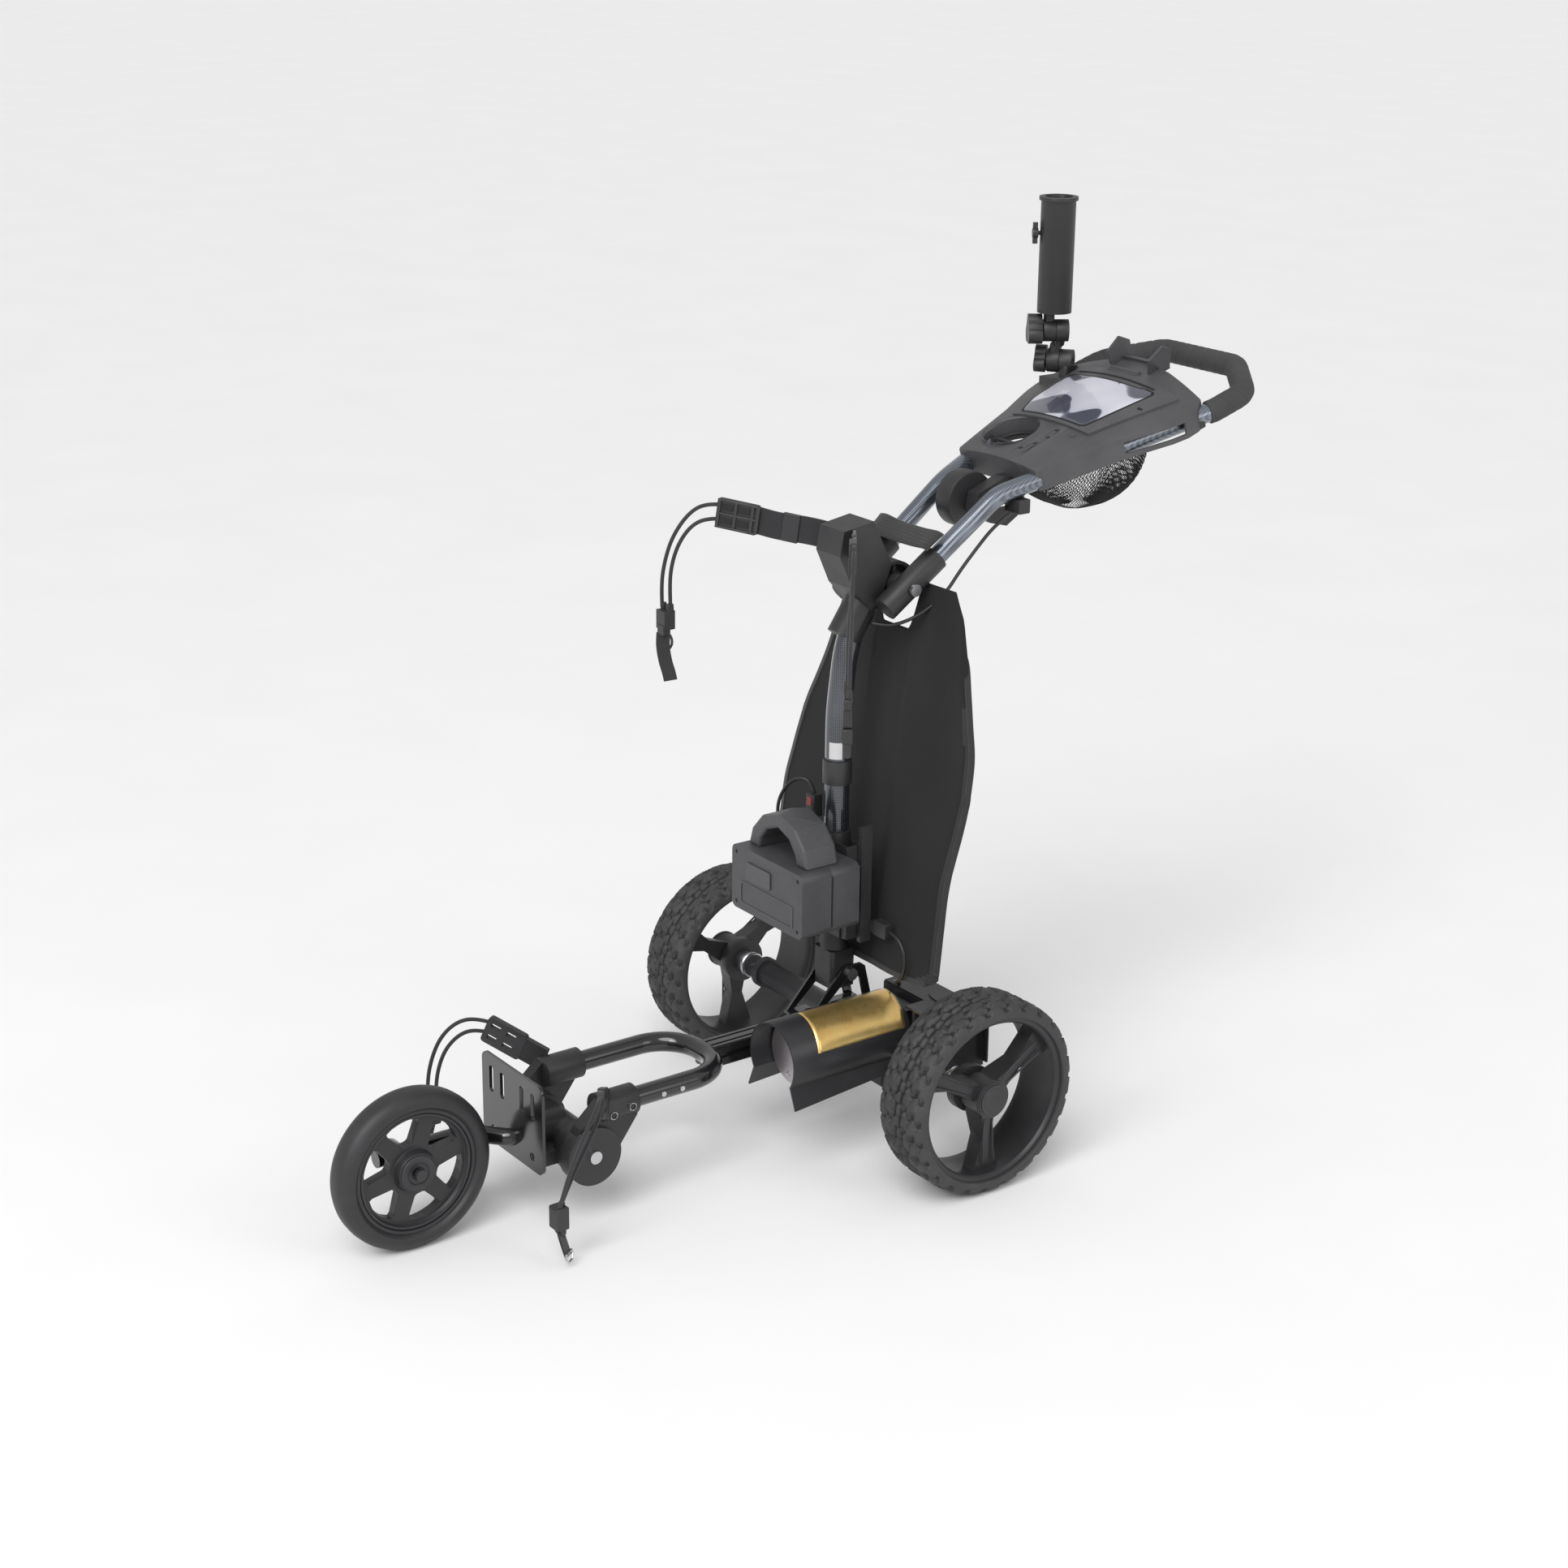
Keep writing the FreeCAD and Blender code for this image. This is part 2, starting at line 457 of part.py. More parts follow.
# upper bag arms: webbing to a four-slot end plate
ua = arm((24, -26, 852), (155, -127, 874), 40, 42, t=5, plate=62)
ua = ua.cut(uh)
ua = max(ua.Solids, key=lambda q: q.Volume)
put("upper_bag_arms", both(ua))

# fabric panel behind the mast: thin closed solid, slightly tilted back
def panel_y(z):
    return 1.0 + 0.1396 * (z - 250)


half = [(0, 242), (60, 240), (150, 250), (185, 268), (182, 330), (180, 400), (192, 470), (198, 520), (194, 580),
        (176, 640), (153, 706), (136, 716), (126, 724), (108, 786), (80, 790), (72, 722), (0, 716)]
far = [(-72, 722), (-80, 790), (-104, 786), (-122, 724), (-146, 650), (-182, 560), (-203, 450), (-206, 390), (-196, 320),
       (-176, 252), (-60, 240)]
pts = half + far
pf = Part.Face(Part.makePolygon([V(x, 0, z) for x, z in pts + [pts[0]]])).extrude(V(0, 3, 0))
sh = Matrix(1, 0, 0, 0, 0, 1, 0.1396, 1.0 - 0.1396 * 250, 0, 0, 1, 0, 0, 0, 0, 1)
put("back_panel", pf.transformGeometry(sh))

# ------------------------------------------------------------------- battery
def case(y0, y1):
    return box(-BAT_X, y0, BAT_Z0, BAT_X, y1, BAT_Z1, 10, (0, 1, 0))


cf = case(BAT_Y0, BAT_YS)
cr = case(BAT_YS, BAT_Y1)
cf = cf.cut(box(-BAT_X + 4, BAT_Y0 + 4, BAT_Z0 + 4, BAT_X - 4, BAT_YS + 1, BAT_Z1 - 4))
cr = cr.cut(box(-BAT_X + 4, BAT_YS - 1, BAT_Z0 + 4, BAT_X - 4, BAT_Y1 - 4, BAT_Z1 - 4))
cf = cf.cut(box(-46, BAT_Y0 - 1, 376, 8, BAT_Y0 + 1.6, 398, 3, (0, 1, 0)))
cf = cf.cut(cyl((-8, BAT_Y0 - 2, 387), (0, 1, 0), 5.15, 8))
for x, z in ((-72, 334), (72, 334), (-72, 408), (72, 408)):
    cf = cf.cut(cyl((x, BAT_Y0 - 1, z), (0, 1, 0), 3, 4))
put("battery_case_front", cf)
put("battery_case_rear", cr)
put("battery_cells", [box(x, -142, 330, x + 36, -57, 411, 3, (0, 0, 1)) for x in (-77, -38.5, 0.5, 39)])
arch_o = [(-68, 0), (-60, 26), (-38, 50), (0, 62), (38, 50), (60, 26), (68, 0)]
arch_i = [(44, 0), (40, 14), (26, 32), (0, 42), (-26, 32), (-40, 14), (-44, 0)]
ah = Part.Face(Part.makePolygon([V(x, -132, BAT_Z1 + z) for x, z in arch_o + arch_i + [arch_o[0]]])).extrude(V(0, 56, 0))
put("battery_handle", ah)
put("gauge_button", cyl((-8, BAT_Y0 - 0.6, 387), (0, 1, 0), 5.0, 4.0))

# ------------------------------------------------------------ cable couplers
put("battery_plug", box(-42, -53, 462, -24, -36, 484, 2.5, (0, 0, 1)))
sock2 = fuse(box(70, -16, 300, 98, -4, 322, 2.5, (0, 1, 0)), box(51.6, -16.5, 302, 72, -14, 318))
put("lead_sockets", box(-42, -50.4, 452.0, -24, -36, 461.9, 2, (0, 0, 1)), sock2.cut(NODES["battery_bracket"][0]))

# -------------------------------------------------------------------- handle
HT = [(48, 12, 763), (57, 192, 896), (149, 515, 996.0)]
d1 = V(57 - 48, 180, 133)
loop_pts = [(48, 12, 763), (57, 192, 896), (147, 509, 994.5), (146, 566, 1012), (74, 619, 1033), (-74, 619, 1033),
            (-146, 566, 1012), (-147, 509, 994.5), (-57, 192, 896), (-48, 12, 763)]
hframe, rr, _ = sweep(loop_pts, HT_R, [90.0, 50.0, 36.0, 36.0, 36.0, 36.0, 50.0, 90.0])
# the grip starts where the tube meets the closed end of the loop
def cut_grip(pts, r):
    s, a, b = sweep(pts, r, [50.0, 36.0, 36.0, 36.0, 36.0, 50.0])
    return s


gp = [(144.0, 498.5, 991.2)] + loop_pts[2:8] + [(-144.0, 498.5, 991.2)]
gp_out = cut_grip(gp, GRIP_R)
put("handle_grip", gp_out.cut(hframe))
dsl = (V(57, 192, 896) - V(48, 12, 763)).normalize()
pA = V(48, 12, 763)
sleeve = Part.makeCylinder(18.0, 104, pA - dsl * 3, dsl)
ear = cyl((28.6, HAND_PY, HAND_PZ), (1, 0, 0), 16, 14)
sleeve = sleeve.fuse(ear).removeSplitter()
sleeve = sleeve.cut(box(-28.5, 0, 700, 28.5, 200, 900))
sleeves = both(sleeve)
sleeves = [s.cut(hframe) for s in sleeves]
put("tube_sleeves", [s.cut(cyl((-80, HAND_PY, HAND_PZ), (1, 0, 0), 5.1, 160)) for s in sleeves])
put("handle_frame", hframe.cut(cyl((-80, HAND_PY, HAND_PZ), (1, 0, 0), 5.1, 160)))
put("handle_pivot_bolt", fuse(cyl((-72, HAND_PY, HAND_PZ), (1, 0, 0), 5.0, 144),
                              cyl((69, HAND_PY, HAND_PZ), (1, 0, 0), 8.5, 5), cyl((-74, HAND_PY, HAND_PZ), (1, 0, 0), 8.5, 5)))

# strap lying across the two sleeves
st = bar((-66, 84, 841), (66, 84, 841), 3, 30, up=(0, -0.59, 0.8))
st2 = [bar((sx * 66, 84, 842), (sx * 72, 92, 822), 30, 3, up=(0, 0.8, 0.59)) for sx in (1, -1)]
put("top_strap", bar((-68, 78, 849.5), (68, 78, 849.5), 3.5, 34, up=(0, -0.594, 0.804)))

# console shell: plan on the console plane, domed top, open below
OUT = [(-88, 6), (-82, 0), (82, 0), (88, 6), (120, 122), (152, 190), (158, 214), (156, 236), (140, 262), (60, 281),
       (0, 286), (-60, 281), (-140, 262), (-156, 236), (-158, 214), (-152, 190), (-120, 122)]


def plan(pts, n0, n1):
    return prism_z(pts, n0, n1)


def inset(pts, d):
    w = Part.makePolygon([V(x, y, 0) for x, y in pts + [pts[0]]])
    f = Part.Face(w)
    o = f.makeOffset2D(-d)
    return o


def dome(dn):
    a = V(0, -60, 9 + dn - DOME_R - 0.07 * 60)
    d = V(0, 1, 0.07)
    return Part.makeCylinder(DOME_R, 430, a, d)


outer = plan(OUT, -27, 45).common(dome(0))
in_face = inset(OUT, 3.2)
in_face.translate(V(0, 0, -30))
inner = in_face.extrude(V(0, 0, 75)).common(dome(-4.5))
shell = outer.cut(inner)
TRAY = [(-68, 110), (68, 110), (92, 236), (-92, 236)]
TRAYO = [(-71, 107), (71, 107), (95, 239), (-95, 239)]
floor = plan(TRAYO, 3.0, 45).common(dome(0))
shell = shell.fuse(floor).cut(plan(TRAY, 5.5, 60))
CUP = (-38, 64)
cupo = Part.makeCylinder(45, 60, V(CUP[0], CUP[1], -20)).common(dome(0))
shell = shell.fuse(cupo).cut(Part.makeCylinder(42, 90, V(CUP[0], CUP[1], -30)))
for x, s_ in ((18, 32), (28, 50), (33, 70), (30, 90)):
    shell = shell.cut(Part.makeCylinder(3.4, 60, V(x, s_, -10)))
# open window in each side wall, where the tube shows
for sx in (1, -1):
    win = prism_z([(sx * 100, 118), (sx * 178, 118), (sx * 178, 205), (sx * 118, 205)], -22, 0)
    win = plan([(sx * 104, 128), (sx * 190, 128), (sx * 190, 212), (sx * 146, 212)], -20, -3)
    shell = shell.cut(win)
shell = shell.removeSplitter()
# clearance for the tubes
csh = con(shell)
csh = csh.cut(hframe)
csh = max(csh.Solids, key=lambda q: q.Volume)
put("console_body", csh)

LID = [(-80, 103), (80, 103), (121, 240), (60, 249), (0, 251), (-60, 249), (-94.5, 245), (-94.5, 152)]
lid = plan(LID, -20, 70).common(dome(3.4)).cut(dome(0.4))
lid = max(lid.Solids, key=lambda q: q.Volume)
hinge = Part.makeCylinder(2.6, 60, V(-30, 253.5, 31.6), V(1, 0, 0))
lid = fuse(lid, hinge, Part.makeBox(60, 6, 2.6, V(-30, 247, 28.8)))
put("console_lid", con(lid))
LID_AX = con_pt(0, 253.5, 31.6)
print("lid axis", LID_AX)

# rear saddle with two flared ears, on the console's back edge
sad = fuse(box(-40, 258, 18, 40, 286, 26), box(-40, 284, 0, 40, 290, 34))
for sx in (1, -1):
    e = Part.makePolygon([V(sx * 40, 262, 24), V(sx * 40, 302, 24), V(sx * 46, 306, 52), V(sx * 50, 290, 62),
                          V(sx * 46, 262, 48), V(sx * 40, 262, 24)])
    ee = prism_x([(262, 24), (302, 24), (306, 50), (290, 62), (262, 50)], 0, 4)
    ee.rotate(V(0, 0, 24), V(0, 1, 0), 12)
    ee.translate(V(36, 0, 0))
    sad = sad.fuse(ee if sx > 0 else ee.mirror(V(0, 0, 0), V(1, 0, 0)))
sad = sad.fuse(box(-40, 284, 20, 40, 302, 26)).removeSplitter()
put("rear_saddle", con(sad).cut(csh))
put("rear_saddle", max(NODES["rear_saddle"], key=lambda q: q.Volume))

# thumb drum and its bracket under the console's front
DR = (190, 880)
drum2 = fuse(cyl((-24, DR[0], DR[1]), (1, 0, 0), 40, 30), cyl((-38, DR[0], DR[1]), (1, 0, 0), 24, 10),
             cyl((-30, DR[0], DR[1]), (1, 0, 0), 9, 8))
drum2 = drum2.cut(cyl((-50, DR[0], DR[1]), (1, 0, 0), 4.1, 80))
put("thumb_drum", drum2)
bk = prism_x([(DR[0] - 12, 868), (DR[0] - 8, 894), (230, 912), (262, 912), (270, 896), (262, 858), (236, 842),
              (206, 850)], 8, 30)
bk = bk.cut(box(0, 222, 864, 40, 250, 884))
bk = bk.fuse(cyl((-37, DR[0], DR[1]), (1, 0, 0), 4.0, 50)).removeSplitter()
bk = bk.cut(csh)
gland = fuse(box(54, 216, 870, 78, 236, 890, 2, (1, 0, 0))).cut(hframe)
put("drum_bracket", max(bk.Solids, key=lambda q: q.Volume), max(gland.Solids, key=lambda q: q.Volume))

# net basket hung under the console
NETO = [(276, 914), (300, 878), (345, 846), (478, 838), (494, 866), (492, 960), (470, 972), (300, 918)]
no = prism_x([(282, 912), (300, 878), (345, 846), (474, 838), (490, 866), (488, 975)], -72, 72)
ni = prism_x([(287, 920), (304, 881), (347, 849), (472, 841), (487, 867), (485, 990)], -69.5, 69.5)
net = no.cut(ni).cut(con(plan([(-400, -100), (400, -100), (400, 400), (-400, 400)], -27.4, 200)))
put("net_basket", max(net.Solids, key=lambda q: q.Volume))

# ---------------------------------------------------------- umbrella holder
A2 = V(0.784, 0.62, 0).normalize()
A1 = V(0.56, 0.83, 0).normalize()
P2 = V(-122, 458, 1026)
P1 = V(-120, 444, 1072)
clamp = fuse(box(-146, 436, 952, -106, 474, 1002, 6, (0, 0, 1)),
             Part.makeCylinder(17, 18, P2 + A2 * 0.4, A2),
             box(-128, 449, 996, -100, 474, 1022, 4, (0, 0, 1)).cut(
                 Part.makeCylinder(30, 60, P2 - A2 * 60 + A2 * 0.4, A2)))
csh = csh.cut(clamp)
put("console_body", max(csh.Solids, key=lambda q: q.Volume))
clamp = clamp.cut(hframe)
clamp = max(clamp.Solids, key=lambda q: q.Volume).cut(Part.makeCylinder(4.1, 80, P2 - A2 * 40, A2))
put("umbrella_clamp", clamp)
link = fuse(Part.makeCylinder(17, 18, P2 - A2 * 18.4, A2), Part.makeCylinder(16, 18, P1 + A1 * 0.4, A1))
nk = Part.makeCylinder(10, 40, P2 - A2 * 9 + V(0, 0, 8), (P1 + A1 * 9) - (P2 - A2 * 9))
nk = nk.cut(Part.makeCylinder(24, 60, P1 - A1 * 59.6, A1))
link = link.fuse(nk.cut(Part.makeCylinder(24, 60, P2 + A2 * 0.0, A2))).removeSplitter()
link = max(link.Solids, key=lambda q: q.Volume)
link = link.cut(Part.makeCylinder(4.0, 80, P2 - A2 * 40, A2)).cut(Part.makeCylinder(4.1, 80, P1 - A1 * 40, A1))
put("umbrella_link", max(link.Solids, key=lambda q: q.Volume))
sk = ring((SOCK_X, SOCK_Y, SOCK_Z0), (0, 0, 1), SOCK_R, SOCK_BORE, SOCK_Z1 - SOCK_Z0)
sk = sk.fuse(ring((SOCK_X, SOCK_Y, SOCK_Z1 - 5), (0, 0, 1), 28, SOCK_BORE, 5))
sk = sk.fuse(cyl((SOCK_X, SOCK_Y, SOCK_Z0 - 4), (0, 0, 1), SOCK_R, 6))
sk = sk.fuse(Part.makeCylinder(16, 18, P1 - A1 * 18.4, A1))
nk2 = Part.makeCylinder(8, 32, P1 - A1 * 10, V(0, 0, 1)).cut(Part.makeCylinder(40, 40, P1 - A1 * 0.4, A1))
sk = sk.fuse(nk2).removeSplitter()
sk = sk.cut(Part.makeCylinder(4.0, 80, P1 - A1 * 40, A1))
sk = sk.cut(Part.makeCylinder(3.1, 30, V(SOCK_X, SOCK_Y, 1212) - A1 * 34, A1))
put("umbrella_socket", max(sk.Solids, key=lambda q: q.Volume))


def lobed(p, ax, r, hgt, lobes=3):
    s = Part.makeCylinder(r * 0.72, hgt, p, ax)
    u = ax.cross(V(0, 0, 1)).normalize()
    v = ax.cross(u).normalize()
    for k in range(lobes):
        a = 2 * math.pi * k / lobes + 0.5
        c = p + (u * math.cos(a) + v * math.sin(a)) * (r * 0.5)
        s = s.fuse(Part.makeCylinder(r * 0.5, hgt, c, ax))
    return s.removeSplitter()


kl = lobed(P2 - A2 * 36.5, A2, 22, 16).fuse(Part.makeCylinder(9, 2.2, P2 - A2 * 21, A2)).fuse(
    Part.makeCylinder(3.9, 38, P2 - A2 * 22, A2)).removeSplitter()
put("tilt_knob_lower", kl)
ku = lobed(P1 - A1 * 40.5, A1, 24, 20).fuse(Part.makeCylinder(9, 2.2, P1 - A1 * 21, A1)).fuse(
    Part.makeCylinder(3.9, 38, P1 - A1 * 22, A1)).removeSplitter()
put("tilt_knob_upper", ku)
pw = V(SOCK_X, SOCK_Y, 1212)
ws = Part.makeCylinder(3.0, 16, pw - A1 * 36, A1).fuse(Part.makeCylinder(7, 8, pw - A1 * 36, A1))
uw = A1.cross(V(0, 0, 1)).normalize()
wg = bar(tuple(pw - A1 * 32 - V(0, 0, 15)), tuple(pw - A1 * 32 + V(0, 0, 15)), 7, 5, up=tuple(A1))
ws = ws.fuse(wg).removeSplitter()
put("wing_screw", max(ws.Solids, key=lambda q: q.Volume))

# --------------------------------------------------------------------- cords
UL = [  # upper far strap, two strands
    [(-152, -125, 884), (-168, -139, 884), (-190, -152, 866), (-207, -166, 832), (-217, -172, 796), (-221, -175, 762),
     (-220, -174, 730)],
    [(-152, -125, 864), (-167, -137, 863), (-186, -149, 850), (-200, -160, 824), (-207, -167, 793), (-209, -169, 762),
     (-208, -168, 730)]]
UR = [
    [(152, -125, 884), (164, -135, 880), (173, -142, 860), (176, -145, 830), (179, -147, 795), (177, -147, 758),
     (175, -146, 722), (176, -146, 690)],
    [(152, -125, 864), (161, -133, 854), (166, -139, 834), (167, -141, 805), (165, -142, 770), (166, -142, 735),
     (163, -141, 702)]]
EXU = V(0, 0, 0)


def shift_pts(pts, dx):
    return [(p[0] + dx, p[1], p[2]) for p in pts]


upper = []
for nm, lst in (("upper_left", UL), ("upper_right", UR)):
    for i, pts in enumerate(lst):
        upper.append(cord("%s_%d" % (nm, i), pts, CORD_R))
LL = [
    [(-144, -513, 214), (-160, -526, 217), (-182, -542, 206), (-201, -556, 180), (-212, -565, 146), (-217, -570, 110),
     (-216, -571, 76)],
    [(-144, -513, 198), (-158, -524, 200), (-177, -538, 190), (-194, -551, 166), (-203, -559, 136), (-206, -563, 104),
     (-205, -564, 76)]]
LR = [
    [(144, -513, 214), (156, -523, 215), (166, -538, 203), (170, -556, 179), (168, -570, 148), (164, -580, 115),
     (160, -587, 84)],
    [(144, -513, 198), (155, -522, 197), (163, -534, 184), (164, -550, 159), (160, -563, 131), (155, -573, 104),
     (150, -580, 80)]]
lower = []
for nm, lst in (("lower_left", LL), ("lower_right", LR)):
    for i, pts in enumerate(lst):
        lower.append(cord("%s_%d" % (nm, i), pts, CORD_R))
EXPORT_CORDS = {"upper_cords": upper, "lower_cords": lower}
up_arm = both(ua)
lo_arm = both(lower_arm)
up_cut = []
for s in upper:
    for a in up_arm:
        s = s.cut(a)
    up_cut.append(s)
lo_cut = []
for s in lower:
    for a in lo_arm:
        s = s.cut(a)
    lo_cut.append(s)

# cord ends: toggle with a webbing tail on the far side, buckle on the near side
hook = fuse(box(-226, -182, 700, -203, -162, 730, 4, (0, 0, 1)), box(-222, -180, 668, -200, -176, 702),
            bar((-211, -178, 690), (-199, -172, 610), 3, 20, up=(0.6, -0.8, 0)))
buck = fuse(bar((174, -146, 690.0), (176, -146, 660), 6, 24, up=(0.6, -0.8, 0)),)
bk1 = box(157, -152, 654, 183, -136, 690, 3, (0, 1, 0)).fuse(box(152, -154, 634, 188, -134, 656, 3, (0, 1, 0)))
bk1 = bk1.fuse(box(159, -151, 612, 181, -137, 636, 2, (0, 1, 0))).removeSplitter()
bk1 = bk1.fuse(box(157, -149, 688, 168, -135, 702)).removeSplitter()
put("upper_strap_ends", hook, bk1)
lt = fuse(box(143, -596, 50, 166, -574, 84, 4, (0, 0, 1)),
          bar((155, -586, 56), (170, -577, 10), 3.5, 18, up=(0.8, 0.6, 0)),
          bar((166, -581, 22), (171, -577, 9), 8, 22, up=(0.8, 0.6, 0)))
lt2 = fuse(box(-222, -580, 50, -198, -558, 76, 4, (0, 0, 1)),
           bar((-210, -569, 54), (-216, -578, 12), 3.5, 18, up=(0.6, -0.8, 0)))
put("lower_strap_ends", lt, lt2)

def trim(s, *others):
    for name in others:
        for o in NODES[name]:
            s = s.cut(o)
    return max(s.Solids, key=lambda q: q.Volume)


put("upper_cords", [trim(s, "upper_strap_ends") for s in up_cut])
put("lower_cords", [trim(s, "lower_strap_ends") for s in lo_cut])
bl = cord("battery_lead", [(-74, -72, 418), (-79, -74, 440), (-80, -73, 463), (-72.6, -68.5, 483.8),
                           (-61.6, -61.9, 499.1), (-47, -53, 504.7), (-36.2, -46.4, 497.9), (-33, -44.5, 484)], LEAD_R)
put("battery_lead", trim(bl, "battery_plug", "battery_case_rear"))
ml = cord("motor_lead", [(98, -10, 312), (112, -10, 311), (126, -10, 303), (136, -11, 288), (137, -11, 268),
                         (126, -8, 250), (110, -2, 238), (92, 8, 230), (76, 20, 221), (64, 34, 212), (58, 44, 206)], LEAD_R)
put("motor_lead", trim(ml, "rear_deck", "lead_sockets"))
hc = cord("handset_cable", [(65, 217, 873), (64, 201, 864), (63, 180, 851), (66, 152, 829), (68, 122, 802), (73, 96, 778),
                            (70, 68, 758), (58, 42, 742), (42, 18, 734), (24.5, 4, 738)], LEAD_R)
put("handset_cable", trim(hc, "drum_bracket", "upper_housing"))

# ---------------------------------------------------------------------- write
CORDS = {"upper_cords", "lower_cords", "battery_lead", "motor_lead", "handset_cable"}
total = None
for name, solids in NODES.items():
    moved = []
    for s in solids:
        q = s.copy()
        q.translate(V(0, Y_SHIFT, 0))
        moved.append(q)
        if not q.isValid():
            print("INVALID", name)
    comp = moved[0] if len(moved) == 1 else Part.makeCompound(moved)
    if name not in CORDS:
        if total is None:
            total = comp.BoundBox
        else:
            total.add(comp.BoundBox)
    comp.exportStep("parts/%s.step" % name)
print(len(NODES), "nodes")
print("box", total)
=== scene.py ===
import math
import random

import bmesh
import bpy
from mathutils import Matrix, Vector, noise


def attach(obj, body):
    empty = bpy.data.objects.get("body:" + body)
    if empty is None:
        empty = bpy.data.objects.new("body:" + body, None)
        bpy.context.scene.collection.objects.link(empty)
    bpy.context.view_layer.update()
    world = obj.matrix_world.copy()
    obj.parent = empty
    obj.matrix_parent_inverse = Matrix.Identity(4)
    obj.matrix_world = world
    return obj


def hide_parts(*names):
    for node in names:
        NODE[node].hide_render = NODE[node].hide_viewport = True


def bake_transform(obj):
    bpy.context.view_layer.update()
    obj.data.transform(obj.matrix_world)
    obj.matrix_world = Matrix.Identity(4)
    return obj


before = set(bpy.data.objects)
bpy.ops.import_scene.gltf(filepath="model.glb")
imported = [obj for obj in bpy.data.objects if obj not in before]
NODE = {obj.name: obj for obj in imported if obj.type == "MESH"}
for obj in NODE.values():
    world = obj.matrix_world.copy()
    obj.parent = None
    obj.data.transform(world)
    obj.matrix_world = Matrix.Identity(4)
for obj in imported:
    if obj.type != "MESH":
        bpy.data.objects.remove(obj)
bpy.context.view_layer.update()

scene = bpy.context.scene
random.seed(7)
Y_SHIFT = 94.5


def P(x, y, z):
    """A point of the working frame (mm, rear axle at y = 0) in the row frame, in metres."""
    return Vector((x / 1000, (y + Y_SHIFT) / 1000, z / 1000))


# ------------------------------------------------------------------- camera
cam_data = bpy.data.cameras.new("camera")
cam_data.lens = 64.5
cam_data.sensor_width = 36
cam_data.clip_start, cam_data.clip_end = 0.05, 60
cam = bpy.data.objects.new("camera", cam_data)
scene.collection.objects.link(cam)
fwd = Vector((-0.7615, 0.556, -0.333)).normalized()
right = Vector((0.5867, 0.8098, 0.0105))
right = (right - fwd * right.dot(fwd)).normalized()
upv = right.cross(fwd)
cm = Matrix((right, upv, -fwd)).transposed().to_4x4()
cm.translation = Vector((2.928, -2.1645, 1.803))
cam.matrix_world = cm
scene.camera = cam


# ---------------------------------------------------------------- materials
def shader(name):
    m = bpy.data.materials.new(name)
    m.use_nodes = True
    nt = m.node_tree
    nt.nodes.clear()
    out = nt.nodes.new("ShaderNodeOutputMaterial")
    b = nt.nodes.new("ShaderNodeBsdfPrincipled")
    nt.links.new(b.outputs[0], out.inputs[0])
    return m, nt, b


def coords(nt, uv=False, scale=(1, 1, 1)):
    tc = nt.nodes.new("ShaderNodeTexCoord")
    mp = nt.nodes.new("ShaderNodeMapping")
    mp.inputs["Scale"].default_value = scale
    nt.links.new(tc.outputs["UV" if uv else "Object"], mp.inputs[0])
    return mp.outputs[0]


def noise_tex(nt, vec, scale, detail=4.0, rough=0.55):
    n = nt.nodes.new("ShaderNodeTexNoise")
    n.inputs["Scale"].default_value = scale
    n.inputs["Detail"].default_value = detail
    n.inputs["Roughness"].default_value = rough
    nt.links.new(vec, n.inputs["Vector"])
    return n.outputs["Fac"]


def ramp(nt, fac, stops):
    r = nt.nodes.new("ShaderNodeValToRGB")
    while len(r.color_ramp.elements) < len(stops):
        r.color_ramp.elements.new(0.5)
    for e, (p, c) in zip(r.color_ramp.elements, stops):
        e.position = p
        e.color = (c[0], c[1], c[2], 1) if hasattr(c, "__len__") else (c, c, c, 1)
    nt.links.new(fac, r.inputs[0])
    return r.outputs[0]


def math_node(nt, op, a, b=None, c=None):
    n = nt.nodes.new("ShaderNodeMath")
    n.operation = op
    for i, v in enumerate((a, b, c)):
        if v is None:
            continue
        if isinstance(v, (int, float)):
            n.inputs[i].default_value = v
        else:
            nt.links.new(v, n.inputs[i])
    return n.outputs[0]


def bump(nt, b, height, strength, distance, before=None):
    n = nt.nodes.new("ShaderNodeBump")
    n.inputs["Strength"].default_value = strength
    n.inputs["Distance"].default_value = distance
    nt.links.new(height, n.inputs["Height"])
    if before is not None:
        nt.links.new(before, n.inputs["Normal"])
    nt.links.new(n.outputs[0], b.inputs["Normal"])
    return n.outputs[0]


def scaled(c, k):
    return tuple(min(1.0, v * k) for v in c)


